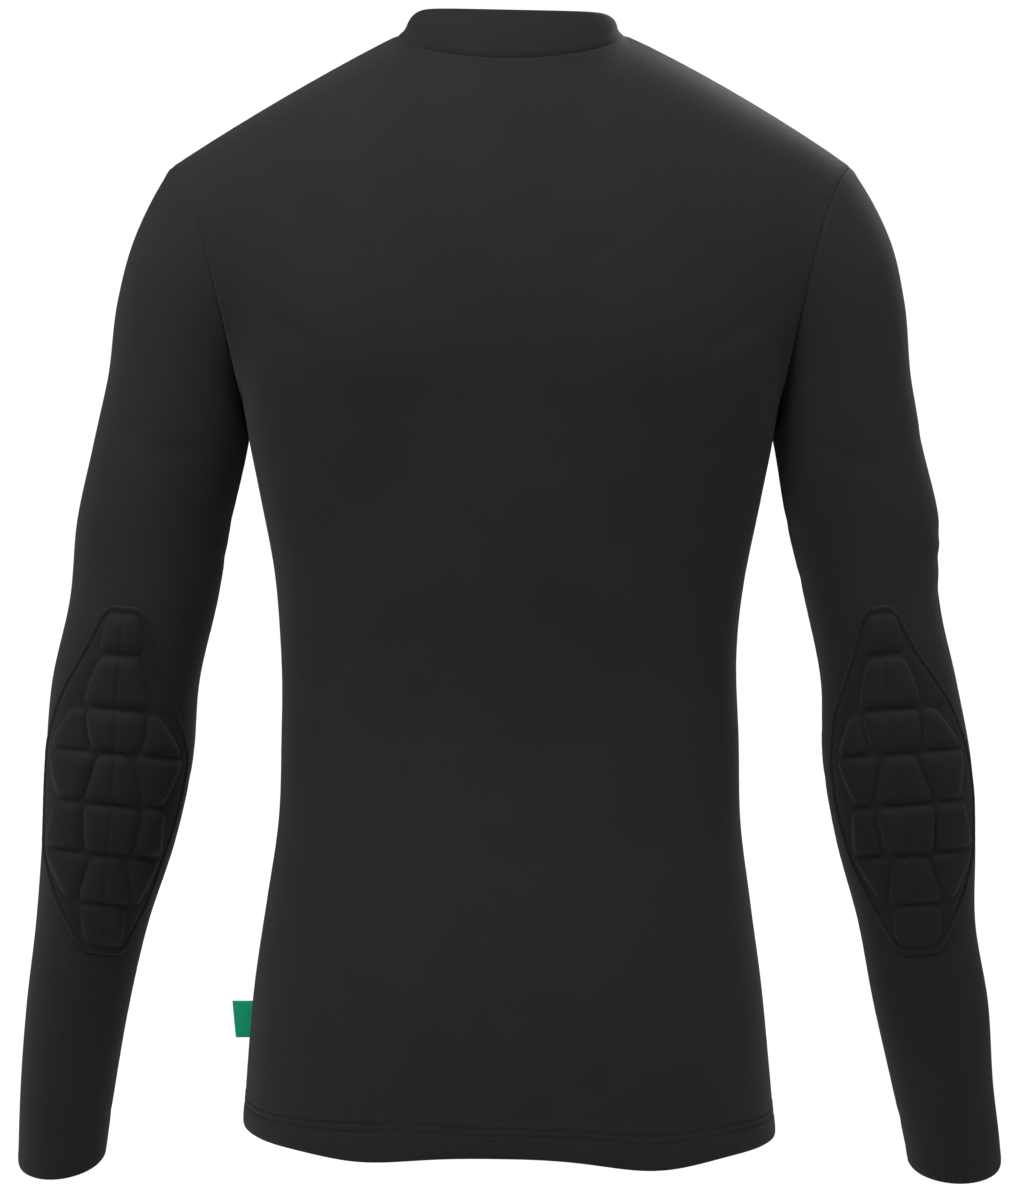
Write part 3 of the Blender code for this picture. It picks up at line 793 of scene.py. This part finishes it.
class Nodes:
    """A new material, with short ways to add nodes to its tree and link them."""

    def __init__(self, name, finish):
        self.material = bpy.data.materials.new(name)
        self.material.use_nodes = True
        self.tree = self.material.node_tree
        self.shader = self.tree.nodes["Principled BSDF"]
        inputs = self.shader.inputs
        inputs["Roughness"].default_value = finish.roughness
        inputs["Sheen Weight"].default_value = finish.sheen
        inputs["Sheen Roughness"].default_value = finish.sheen_roughness
        inputs["Specular IOR Level"].default_value = finish.specular

    def add(self, kind, **values):
        node = self.tree.nodes.new(kind)
        for key, value in values.items():
            setattr(node, key, value)
        return node

    def join(self, source, target):
        self.tree.links.new(source, target)

    def done(self, color, normal):
        self.join(color, self.shader.inputs["Base Color"])
        self.join(normal, self.shader.inputs["Normal"])
        return self.material

    def place(self):
        return self.add("ShaderNodeAttribute", attribute_name="knit").outputs["Vector"]

    def split(self, place):
        node = self.add("ShaderNodeSeparateXYZ")
        self.join(place, node.inputs[0])
        return node.outputs["X"], node.outputs["Y"]

    def math(self, operation, a, b=None):
        node = self.add("ShaderNodeMath", operation=operation)
        for socket, value in zip(node.inputs, (a, b)):
            if isinstance(value, (int, float)):
                socket.default_value = value
            elif value is not None:
                self.join(value, socket)
        return node.outputs[0]

    def times(self, a, b):
        return self.math("MULTIPLY", a, b)

    def plus(self, a, b):
        return self.math("ADD", a, b)

    def sine(self, a):
        return self.math("SINE", a)

    def noise(self, source, noise):
        node = self.add("ShaderNodeTexNoise")
        node.inputs["Scale"].default_value = noise.scale
        node.inputs["Detail"].default_value = noise.detail
        self.join(source, node.inputs["Vector"])
        return self.times(node.outputs["Fac"], noise.share)

    def ramp(self, share, dark, light, low=0.0, high=1.0):
        node = self.add("ShaderNodeValToRGB")
        for stop, at, color in zip(node.color_ramp.elements, (low, high), (dark, light)):
            stop.position = at
            stop.color = color
        self.join(share, node.inputs["Fac"])
        return node.outputs["Color"]

    def bump(self, height, strength, distance, before=None):
        node = self.add("ShaderNodeBump")
        node.inputs["Strength"].default_value = strength
        node.inputs["Distance"].default_value = distance
        self.join(height, node.inputs["Height"])
        if before is not None:
            self.join(before, node.inputs["Normal"])
        return node.outputs["Normal"]


def knit_height(nodes, place):
    """Rows of small V-shaped loops: ribs across the cloth, each broken into slanting legs."""
    x, y = nodes.split(place)
    across = nodes.times(x, 1 / WALE)
    up = nodes.times(y, 1 / COURSE)
    rib = nodes.math("ABSOLUTE", nodes.sine(nodes.times(across, np.pi)))
    slanted = nodes.plus(up, nodes.math("PINGPONG", across, 0.5))
    leg = nodes.sine(nodes.times(slanted, 2 * np.pi))
    leg = nodes.times(nodes.plus(leg, LEG_LIFT), LEG_SHARE)
    return nodes.times(rib, leg)


def knit_material(knit):
    """Fine stretch knit: loops with painted shade between them, a slight unevenness of dye and a
    soft sheen.
    """
    nodes = Nodes(knit.name, knit.finish)
    place = nodes.place()
    loops = knit_height(nodes, place)
    share = nodes.plus(*[nodes.noise(place, noise) for noise in DYE_NOISES])
    # The colour is lighter on the loops' tops and darker between them: painted shade in the knit's
    # hollows.
    share = nodes.plus(share, nodes.times(loops, LOOP_SHADE_SHARE))
    color = nodes.ramp(share, knit.dark, knit.light, 0.25, 0.75)
    rumple = nodes.bump(nodes.noise(place, RUMPLE_NOISE), RUMPLE, RUMPLE_DEPTH)
    return nodes.done(color, nodes.bump(loops, knit.relief, LOOP_DEPTH, rumple))


def thread_material():
    """Black sewing thread, a little smoother than the cloth."""
    nodes = Nodes("thread", THREAD_FINISH)
    place = nodes.add("ShaderNodeTexCoord").outputs["Object"]
    twist = nodes.noise(place, TWIST_NOISE)
    color = nodes.ramp(twist, THREAD_DARK, THREAD_LIGHT)
    return nodes.done(color, nodes.bump(twist, THREAD_RELIEF, THREAD_DEPTH))


def tape_material():
    """Green satin tape, woven in fine straight rows, with painted shade in the hollows of its
    weave.
    """
    nodes = Nodes("label_tape", TAPE_FINISH)
    place = nodes.place()
    x, y = nodes.split(place)
    warp = nodes.sine(nodes.times(x, 2 * np.pi / TAPE_WARP))
    weft = nodes.sine(nodes.times(y, 2 * np.pi / TAPE_WEFT))
    weave = nodes.times(nodes.plus(nodes.times(warp, weft), 1.0), 0.5)
    # The colour is lighter where the weave is raised: painted shade in the weave's hollows.
    share = nodes.times(weave, WEAVE_SHADE_SHARE)
    share = nodes.plus(share, nodes.noise(place, TAPE_NOISE))
    color = nodes.ramp(share, TAPE_DARK, TAPE_LIGHT, 0.2, 0.8)
    return nodes.done(color, nodes.bump(weave, TAPE_RELIEF, TAPE_DEPTH))


def dress(item, slot, *nodes):
    """What every piece says to the frame."""
    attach(item, "root")
    if nodes:
        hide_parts(*nodes)
    return item


# Panels.


def panel_angles():
    """Angles from the right side seam to the left one, crowded at the seams."""
    half = np.concatenate([
        np.linspace(0, NECK_SHARE, NECK_COLUMNS + 1),
        np.linspace(NECK_SHARE, 1, SIDE_COLUMNS + 1)[1:],
        1 - np.array(EDGE_STEPS) * (1 - NECK_SHARE) / SIDE_COLUMNS,
    ])
    half = np.unique(np.round(half, 9))
    return np.concatenate([-half[:0:-1], half]) * QUARTER


def panel_base(side):
    """The panel's surface, rows from the hem up to the neckline and shoulder seams."""
    angle = panel_angles()
    across = HEM_HALF_WIDTH * np.sin(angle)
    hem = hem_height(across, side)
    depth = hem_depth(across, side)
    ups = np.arange(0, HEM_BAND + HEM_CLEAR, HEM_STEP)
    low = [torso_ring(hem + up * depth, angle, side) for up in ups]
    start = hem + (ups[-1] + HEM_STEP) * depth
    steps = np.arange(LOWER_ROWS) / LOWER_ROWS
    low += [torso_ring(start + (UNDERARM_Z - start) * f, angle, side) for f in steps]
    rise = np.concatenate([
        np.linspace(0, 1, UPPER_ROWS + 1),
        1 - np.array(EDGE_STEPS) / UPPER_ROWS,
    ])
    high = [upper_panel(angle, side, np.full(len(angle), t)) for t in np.unique(rise)]
    return np.array(low + high)


def panel_move(side, base, from_side, from_top):
    """Creases and soft forms of a panel, which fade out at its seams."""
    x, z = base[..., 0], base[..., 2]
    moved = np.zeros(x.shape)
    for crease in PANEL_CREASES[side]:
        moved += creased(x - crease.x, z - crease.z, crease)
    for form in PANEL_FORMS[side]:
        moved += form.height * bump(x - form.x, form.wide) * bump(z - form.z, form.tall)
    return moved * (1 - bump(from_side, CREASE_FREE_EDGE)) * (1 - bump(from_top, CREASE_FREE_EDGE))


def panel(side, name, material):
    """A front or back panel, with what its hem stitches need to lie on it."""
    base = panel_base(side)
    normals = seam_normals(base, grid_normals(base, False, -side))
    from_hem = run_lengths(base, 0)
    across = run_lengths(base, 1)
    from_top = from_hem[-1:] - from_hem
    from_side = np.minimum(across, across[:, -1:] - across)
    moved = panel_move(side, base, from_side, from_top)
    relief = seam_relief(from_side, from_hem) + seam_relief(from_top, across)
    hem_up = from_hem / hem_depth(base[:1, :, 0], side)
    relief += hem_relief(hem_up, across)
    outer = base + normals * (moved + relief)[..., None]
    thick = CLOTH_THICK + (HEM_THICK - CLOTH_THICK) * hem_band_share(hem_up)
    inner = base + normals * (moved - thick)[..., None]
    middle = base.shape[1] // 2
    u = across - across[:, middle : middle + 1]
    item = wall(name, outer, inner, False, (u, from_hem), ("start",), material)
    return item, base, normals, hem_up


def hem_band_share(up):
    """One on the turned band of the hem and zero above it."""
    return 1 / (1 + np.exp((up - HEM_BAND) * HEM_EDGE_SHARPNESS))


def hem_relief(up, run):
    """A turned hem: a rounded fold, two sunken rows of stitches and a step at its raw edge."""
    relief = sum(ridge(up, form) for form in HEM_RIDGES)
    relief = relief + puckered(run) * ridge(up, HEM_PUCKER)
    return relief + HEM_EDGE_STEP * (hem_band_share(up) - 1)


# Stitches.

STITCH_LENGTH = 2.4
STITCH_PITCH = 3.1
STITCH_RADIUS = 0.26
STITCH_SUNK = 0.75
HEM_STITCH_UNDER = 0.25
STITCH_SIDES = 6
STITCH_RINGS = ((0.0, 0.35), (0.12, 0.85), (0.35, 1.0), (0.65, 1.0), (0.88, 0.85), (1.0, 0.35))


def read_along(values, run, at):
    """Points or directions read at distances along a line."""
    return np.stack([np.interp(at, run, values[:, c]) for c in range(3)], -1)


def stitch_points(line, up, run, start):
    """The rings of one stitch, which is thickest in its middle and sinks in at its ends."""
    f, radii = np.array(STITCH_RINGS).T
    at = start + f * STITCH_LENGTH
    place = read_along(line, run, at)
    lift = unit(read_along(up, run, at))
    beside = unit(np.cross(unit(np.gradient(place, axis=0)), lift))
    turn = (np.arange(STITCH_SIDES) * 2 * np.pi / STITCH_SIDES)[None, :, None]
    ring = beside[:, None] * np.cos(turn) + lift[:, None] * np.sin(turn)
    sunk = (radii[:, None, None] - STITCH_SUNK) * STITCH_RADIUS * lift[:, None]
    body = place[:, None] + ring * (radii * STITCH_RADIUS)[:, None, None] + sunk
    return body.reshape(-1, 3)


def stitch_faces(first):
    """The faces of one stitch whose points start at the number given."""
    faces = []
    for r in range(len(STITCH_RINGS) - 1):
        for c in range(STITCH_SIDES):
            a = first + r * STITCH_SIDES + c
            b = first + r * STITCH_SIDES + (c + 1) % STITCH_SIDES
            faces.append([a, b, b + STITCH_SIDES, a + STITCH_SIDES])
    last = first + (len(STITCH_RINGS) - 1) * STITCH_SIDES
    faces.append([first + c for c in reversed(range(STITCH_SIDES))])
    faces.append([last + c for c in range(STITCH_SIDES)])
    return faces


def stitches(name, path, out, material, slot):
    """A row of short stitches along each path, lying on its cloth."""
    points, faces = [], []
    for line, up in zip(path, out):
        run = run_lengths(line, 0)
        count = int(run[-1] // STITCH_PITCH)
        start = (run[-1] - count * STITCH_PITCH + STITCH_PITCH - STITCH_LENGTH) / 2
        for k in range(count):
            faces += stitch_faces(len(points) * STITCH_SIDES * len(STITCH_RINGS))
            points.append(stitch_points(line, up, run, start + k * STITCH_PITCH))
    item = add_mesh(name, np.concatenate(points), faces, material)
    return dress(item, slot)


def hem_stitches(name, base, normals, hem_up, material):
    """Two rows of stitches along the turned hem."""
    lines, ups = [], []
    for at in HEM_STITCH_ROWS:
        row = int(np.argmin(np.abs(hem_up[:, hem_up.shape[1] // 2] - at)))
        lines.append(base[row] - normals[row] * HEM_STITCH_UNDER)
        ups.append(normals[row])
    return stitches(name, lines, ups, material, "cloth")


# Collar.


def collar_edges():
    """The collar's seam and its top edge all round, and how far each point is at a side."""
    share = np.linspace(0, 1, NECK_COLUMNS + 1)
    low, high, sides = [], [], []
    for side, order in ((BACK, 1), (FRONT, -1)):
        rise = RISES[side]
        steps = np.concatenate([-share[:0:-1], share[:-1]]) * order
        angle = steps * NECK_SHARE * QUARTER
        turn = steps * QUARTER
        low.append(top_edge(angle, side))
        c = np.cos(turn)
        across = np.sin(turn)
        climb = COLLAR_TOP_SIDE_Z + (rise.collar_top_z - COLLAR_TOP_SIDE_Z) * c**2
        drop = np.where(across > 0, LEFT_COLLAR_SHOULDER, RIGHT_COLLAR_SHOULDER)
        climb = climb - drop * np.abs(across) ** COLLAR_SHOULDER_POWER + COLLAR_TILT * across
        x = COLLAR_TOP_HALF_WIDTH * across - RIGHT_COLLAR_OUT * np.clip(-across, 0, 1) ** 2
        high.append(point(x, side * rise.collar_top_depth * c, climb))
        sides.append(np.abs(across) ** COLLAR_SIDE_POWER)
    return np.concatenate(low), np.concatenate(high), np.concatenate(sides)


def collar(material):
    """The stand-up collar: a folded band from the neck seam to its rounded top edge."""
    low, high, sides = collar_edges()
    rows_up = np.concatenate([np.linspace(0, 1, COLLAR_ROWS + 1), COLLAR_EDGE_STEPS])
    f = np.unique(rows_up)[:, None, None]
    out = unit(high * (1.0, 1.0, 0.0))
    at_side = sides[None, :, None]
    belly = COLLAR_BELLY * np.sin(np.pi * f) * (1 - at_side)
    base = low + (high - low) * f + out * (belly - COLLAR_FILLET * f * (1 - f) ** 3 * at_side)
    normals = grid_normals(base, True, -1)
    up = run_lengths(base, 0)
    run = run_lengths(np.concatenate([base, base[:, :1]], 1), 1)[:, :-1]
    from_fold = up[-1:] - up
    wave = np.sin(run / COLLAR_WAVE_LENGTH + COLLAR_WAVE_SHIFT) * np.sin(np.pi * f[..., 0])
    relief = seam_relief(up, run) + ridge(from_fold, COLLAR_FOLD) + COLLAR_WAVE * wave
    thicker = (COLLAR_THICK - COLLAR_SEAM_THICK) * np.clip(up / COLLAR_THICKEN_BY, 0, 1)
    thick = COLLAR_SEAM_THICK + thicker + ridge(from_fold, COLLAR_FOLD_THINNER)
    outer = base + normals * relief[..., None]
    inner = base - normals * thick[..., None]
    outer, inner, knit = tucked(outer, inner, out[None], (run, up), TUCK_LENGTH, TUCK_SINK)
    item = wall("collar_band", outer, inner, True, knit, ("end",), material)
    dress(item, "cloth", "collar")
    return item


# Sleeves.


def sleeve_creases(creases, phi, girth, z):
    """How far the creases of a sleeve move its cloth."""
    moved = np.zeros(z.shape)
    for crease in creases:
        turn = (phi - np.radians(crease.x) + np.pi) % (2 * np.pi) - np.pi
        across = turn[None, :] * girth / (2 * np.pi)
        moved += creased(across, z - crease.z, crease)
    return moved


def sleeve(side, name, creases, node, material):
    """A sleeve from its head in the armhole to its cuff."""
    s = np.linspace(0, 1, SLEEVE_ROWS + 1)
    s = np.unique(np.concatenate([s, np.linspace(CUFF_FROM, 1, CUFF_ROWS)]))
    phi = np.arange(SLEEVE_COLUMNS) * 2 * np.pi / SLEEVE_COLUMNS
    base = sleeve_point(side, s[:, None], phi[None, :])
    normals = grid_normals(base, True, -side)
    down = run_lengths(base, 0)
    around = run_lengths(np.concatenate([base, base[:, :1]], 1), 1)
    girth = around[:, -1:]
    around = around[:, :-1]
    from_cuff = down[-1:] - down
    moved = sleeve_creases(creases, phi, girth, base[..., 2])
    moved *= (1 - bump(down, HEAD_FREE)) * (1 - bump(from_cuff, CUFF_FREE))
    under = np.abs(phi - np.pi)[None, :] * girth / (2 * np.pi)
    relief = seam_relief(down, around)
    relief += seam_relief(under, down) * (1 - bump(down, UNDERARM_FREE))
    relief += ridge(from_cuff, CUFF_FOLD) + ridge(from_cuff, CUFF_SWELL)
    band = 1 / (1 + np.exp((from_cuff - CUFF_BAND) * CUFF_EDGE_SHARPNESS))
    thick = CLOTH_THICK + (CUFF_THICK - CLOTH_THICK) * band
    outer = base + normals * (moved + relief)[..., None]
    inner = base + normals * (moved - thick)[..., None]
    knit = (around, down)
    outer, inner, knit = tucked(outer, inner, normals, knit, TUCK_LENGTH, TUCK_SINK)
    item = wall(name, outer, inner, True, knit, ("end",), material)
    dress(item, "cloth", node)
    return item


# Elbow pads.


def smooth_min(values, k):
    """The least of several distances, rounded where two are nearly equal."""
    low = np.min(values, axis=0)
    return low - k * np.log(sum(np.exp(-(v - low) / k) for v in values))


def puff(distance):
    """The height share of a stuffed cell at a distance inside its edge."""
    f = np.clip(distance / PAD_ROUND, 0, 1)
    return np.maximum(1 - (1 - f) ** PUFF_START, 0) ** PUFF_POWER


def pad_line(column, height):
    """A column of the pad's table at a height, its corners slightly rounded."""
    z = [-line.z for line in PAD_LINES]
    value = [getattr(line, column) for line in PAD_LINES]
    total = sum(np.interp(-height + d, z, value) for d in PAD_LINE_ROUNDING)
    return total / len(PAD_LINE_ROUNDING)


def cell_height(edges, tall, uneven):
    """The height of a cell whose edges are at the distances given."""
    inside = smooth_min(edges, PAD_CORNER)
    return tall * uneven * puff(inside) * (inside > 0)


def middle_cell(k, row, across, off, from_ends, side):
    """A row's middle cell with its soft split. Off is the distance beyond its sides."""
    uneven = 1 + CELL_UNEVEN * np.sin(k * 2.3 + side)
    dip = 1 - row.split * bump(across, PAD_SPLIT_WIDTH)
    return cell_height([*from_ends, -off - PAD_MIDDLE_GROOVE], row.height, uneven) * dip


def side_cells(k, row, u, f, off, from_ends, from_edge, side):
    """A row's two side cells, or the low plain wings of a row that has none."""
    wing = off - PAD_WING_GROOVE
    if not row.side_height:
        ends = [end + PAD_WING_OVER for end in from_ends]
        return cell_height([*ends, wing - PAD_WING_IN, from_edge - PAD_BORDER], PAD_WING, 1.0)
    inset = row.side_top + (row.side_bottom - row.side_top) * f
    uneven = 1 + SIDE_CELL_UNEVEN * np.sin(k * 1.7 + side + np.sign(u))
    return cell_height([*from_ends, wing, from_edge - inset], row.side_height, uneven)


def pad_cells(u, v, width, middle, side):
    """Height of the cells above the pad's flat border, from distances across and down it."""
    tall = np.zeros_like(u)
    across = u - middle
    from_edge = width - np.abs(u)
    levels = [line.z for line in PAD_LINES]
    levels[0] -= PAD_BORDER
    levels[-1] += PAD_BORDER
    for k, row in enumerate(PAD_ROWS):
        top, bottom = levels[k], levels[k + 1]
        f = np.clip((top - v) / (top - bottom), 0, 1)
        half = np.interp(f, CELL_STATIONS, (row.top, row.upper, row.lower, row.bottom))
        off = (np.abs(across) - half) / np.hypot(1, (row.bottom - row.top) / (top - bottom))
        from_ends = [top - v - PAD_GROOVE, v - bottom - PAD_GROOVE]
        tall = np.maximum(tall, middle_cell(k, row, across, off, from_ends, side))
        tall = np.maximum(tall, side_cells(k, row, u, f, off, from_ends, from_edge, side))
    return tall


def sleeve_below(side, height, phi):
    """The sleeve's surface at the heights and angles given, and its outward directions."""
    s = station_at(side, height, phi)
    down = sleeve_point(side, s + PROBE, phi) - sleeve_point(side, s - PROBE, phi)
    across = sleeve_point(side, s, phi + PROBE) - sleeve_point(side, s, phi - PROBE)
    return sleeve_point(side, s, phi), unit(np.cross(down, across)) * side


def pad_edge(u, v, width, from_end):
    """The distance inside a pad's edge, rounded where its sides meet its ends."""
    lean = np.gradient(width[:, 0], v)[:, None]
    from_side = (width - np.abs(u)) / np.hypot(1, lean)
    edge = np.minimum(from_side, from_end)
    soft = smooth_min([from_side, np.broadcast_to(from_end, u.shape)], PAD_EDGE_CORNER)
    return np.where(edge > 1.0, np.maximum(soft, 0.0), edge)


def pad_frame(side):
    """Distances across and down a pad, with the sleeve's surface and outward directions."""
    name = "left" if side > 0 else "right"
    top, bottom = PAD_LINES[0].z, PAD_LINES[-1].z
    ends = np.array(PAD_END_STEPS)
    steps = np.arange(top - 1.0, bottom + 1.0, -PAD_STEP)
    v = np.concatenate([top - ends, steps, bottom + ends[::-1]])
    t = np.unique(np.concatenate([np.linspace(-1, 1, PAD_COLUMNS), PAD_SIDE_STEPS]))[None, :]
    from_end = np.minimum(top - v, v - bottom)[:, None]
    narrow = PAD_END_NARROW * np.clip(1 - from_end / PAD_END_ROUND, 0, 1) ** PAD_END_POWER
    half = pad_line("half_" + name, v)[:, None] * (1 - narrow)
    turn = pad_line("turn_" + name, v)[:, None]
    radius = along(SLEEVE_DEPTH, "half", v)[:, None]
    width = np.radians(half) * radius
    middle = np.radians(pad_line("cell_" + name, v)[:, None] - turn) * radius
    angle = half * t
    height = v[:, None] + PAD_SLANT * np.sin(np.radians(angle))
    surface, out = sleeve_below(side, height, QUARTER - np.radians(angle + turn))
    u = width * t
    edge = pad_edge(u, v, width, from_end)
    return u, np.broadcast_to(v[:, None], u.shape), width, middle, edge, surface, out


def pad(side, name, node, material, thread):
    """An elbow pad of puffed cells with its flat edge and its line of stitches."""
    u, v, width, middle, edge, surface, out = pad_frame(side)
    rim = np.clip(edge / PAD_EDGE_ROUND, 0, 1)
    tall = PAD_FLANGE * np.sqrt(1 - (1 - rim) ** 2) + ridge(edge, PAD_LIP) * (edge > PAD_LIP_FROM)
    tall = tall + ridge(edge, PAD_SEAM_GROOVE) + puckered(v + u) * ridge(edge, PAD_PUCKER)
    tall = tall + pad_cells(u, v, width, middle, side)
    outer = surface + out * (tall[..., None] + PAD_LIFT)
    inner = surface - out * PAD_SINK
    item = wall(name, outer, inner, False, (u, -v), (), material)
    dress(item, "pad_cloth", node)
    lines, ups = pad_seam(outer, out, edge)
    stitches(name + "_stitches", lines, ups, thread, "pad_cloth")
    return item


def pad_seam(outer, out, edge):
    """The line of stitches round a pad, a little inside its edge."""
    within = edge >= PAD_STITCH_AT
    rows = np.nonzero(within.any(axis=1))[0]
    first = np.argmax(within[rows], axis=1)
    last = edge.shape[1] - 1 - np.argmax(within[rows, ::-1], axis=1)
    lines = [outer[rows, columns] for columns in (first, last)]
    ups = [out[rows, columns] for columns in (first, last)]
    return lines, ups


# Label.

LABEL_ROWS = 24
LABEL_COLUMNS = 12
LABEL_FOLD_COLUMNS = 9
LABEL_CAUGHT = 1.2
LABEL_CLEAR = 1.5
LABEL_LEAF = 0.75
LABEL_LEAF_WAVE = 0.15
LABEL_BOW = 0.35
LABEL_BOW_WAVE = 0.4
LABEL_THICK = 0.45
LABEL_EDGE = Ridge(0.12, 1.2, 0.5)


def label_row(f):
    """One level of the tab: out along one leaf, round the fold and back along the other."""
    z = LABEL_TOP_Z + (LABEL_BOTTOM_Z - LABEL_TOP_Z) * f
    root = float(along(TORSO, "half_width", z)) - LABEL_CAUGHT
    wide = LABEL_TOP_WIDTH + (LABEL_BOTTOM_WIDTH - LABEL_TOP_WIDTH) * f
    tip = root + LABEL_CLEAR + wide
    leaf = LABEL_LEAF + LABEL_LEAF_WAVE * np.sin(3 * f)
    x = np.linspace(root, tip - leaf, LABEL_COLUMNS)
    bow = LABEL_BOW * np.sin(np.pi * (x - root) / (tip - root))
    bow = bow * (1 + LABEL_BOW_WAVE * np.sin(5 * f))
    fold = np.linspace(QUARTER, -QUARTER, LABEL_FOLD_COLUMNS)[1:-1]
    path = [(a, leaf + b, z) for a, b in zip(x, bow)]
    path += [(tip - leaf + leaf * np.cos(a), leaf * np.sin(a), z) for a in fold]
    return path + [(a, -leaf + b, z) for a, b in zip(x[::-1], bow[::-1])]


def label(material):
    """A folded tab caught in the side seam, its two leaves a little apart, left bare."""
    share = np.linspace(0, 1, LABEL_ROWS)
    base = np.array([label_row(f) for f in share])
    normals = grid_normals(base, False, -1)
    edge = np.minimum(share, share[::-1])[:, None, None] * (LABEL_ROWS - 1)
    outer = base + normals * ridge(edge, LABEL_EDGE)
    inner = base - normals * LABEL_THICK
    knit = (run_lengths(base, 1), base[..., 2])
    item = wall("label_tab", outer, inner, False, knit, ("start", "end"), material)
    dress(item, "label_cloth", "side_label")
    return item


# Camera, light and floor.


def make_camera():
    """The photograph's camera, straight behind the shirt."""
    data = bpy.data.cameras.new("camera")
    data.sensor_width = SENSOR
    data.lens = SENSOR * EYE_DISTANCE / (PHOTO_HEIGHT * MM_PER_PIXEL * MM)
    item = placed("camera", data)
    x = (MIDDLE_PIXEL_X - PHOTO_WIDTH / 2) * MM_PER_PIXEL * MM
    z = (NECK_PIXEL_Y - PHOTO_HEIGHT / 2) * MM_PER_PIXEL * MM
    item.location = (x, EYE_DISTANCE, z)
    item.rotation_euler = (np.pi / 2, 0, np.pi)
    bpy.context.scene.camera = item
    bpy.context.scene.view_settings.view_transform = "Standard"


TARGET = Vector((0, 0, -0.33))
LAMPS = table(
    "name place size power",
    ("key", (1.2, 1.9, 1.6), 1.2, 46),
    ("fill", (-1.8, 2.1, 1.0), 1.6, 14),
    ("top", (-0.2, 0.8, 1.6), 1.5, 8),
    ("side_left", (1.9, 0.3, 1.2), 1.0, 11),
    ("side_right", (-1.9, 0.3, 1.2), 1.0, 9),
    ("front", (-0.7, -2.2, 1.1), 1.6, 42),
)
AMBIENT = 0.03
BACKDROP = 1.05
WHITE = (1, 1, 1, 1)
FLOOR_Z = -1.45
FLOOR_HALF = 2.4
FLOOR_GREY = (0.74, 0.74, 0.74, 1)


def make_lamps():
    """The studio's square lamps, all turned to the middle of the shirt."""
    for lamp in LAMPS:
        data = bpy.data.lights.new(lamp.name, "AREA")
        data.size = lamp.size
        data.energy = lamp.power
        item = placed(lamp.name, data)
        item.location = lamp.place
        item.rotation_euler = (TARGET - item.location).to_track_quat("-Z", "Y").to_euler()


def make_world():
    """A backdrop that the camera sees as white and that lights the shirt only a little."""
    world = bpy.data.worlds.new("studio")
    bpy.context.scene.world = world
    world.use_nodes = True
    tree = world.node_tree
    shown = tree.nodes["Background"]
    lit = tree.nodes.new("ShaderNodeBackground")
    ray = tree.nodes.new("ShaderNodeLightPath")
    mix = tree.nodes.new("ShaderNodeMixShader")
    tree.links.new(ray.outputs["Is Camera Ray"], mix.inputs["Fac"])
    for k, node, strength in ((1, lit, AMBIENT), (2, shown, BACKDROP)):
        node.inputs["Color"].default_value = WHITE
        node.inputs["Strength"].default_value = strength
        tree.links.new(node.outputs["Background"], mix.inputs[k])
    tree.links.new(mix.outputs["Shader"], tree.nodes["World Output"].inputs["Surface"])


def make_floor():
    """A grey floor far below, which throws a little light up."""
    corners = [(-1, -1), (1, -1), (1, 1), (-1, 1)]
    mesh = bpy.data.meshes.new("floor")
    points = [(a * FLOOR_HALF, b * FLOOR_HALF, FLOOR_Z) for a, b in corners]
    mesh.from_pydata(points, [], [(0, 1, 2, 3)])
    nodes = Nodes("floor", FLOOR_FINISH)
    nodes.shader.inputs["Base Color"].default_value = FLOOR_GREY
    mesh.materials.append(nodes.material)
    placed("floor", mesh)


def main():
    """The studio and then every piece of the shirt."""
    make_camera()
    make_lamps()
    make_world()
    make_floor()
    cloth = knit_material(CLOTH)
    pad_cloth = knit_material(PAD_CLOTH)
    thread = thread_material()
    for side, name, node in ((BACK, "back_panel", "back"), (FRONT, "front_panel", "front")):
        item, base, normals, hem_up = panel(side, name, cloth)
        dress(item, "cloth", node)
        sewn = hem_stitches("hem_stitches_" + node, base, normals, hem_up, thread)
    collar(cloth)
    left = sleeve(LEFT, "left_sleeve", LEFT_CREASES, "sleeve_left", cloth)
    right = sleeve(RIGHT, "right_sleeve", RIGHT_CREASES, "sleeve_right", cloth)
    pad(LEFT, "left_elbow_pad", "elbow_pad_left", pad_cloth, thread)
    pad(RIGHT, "right_elbow_pad", "elbow_pad_right", pad_cloth, thread)
    label(tape_material())


main()
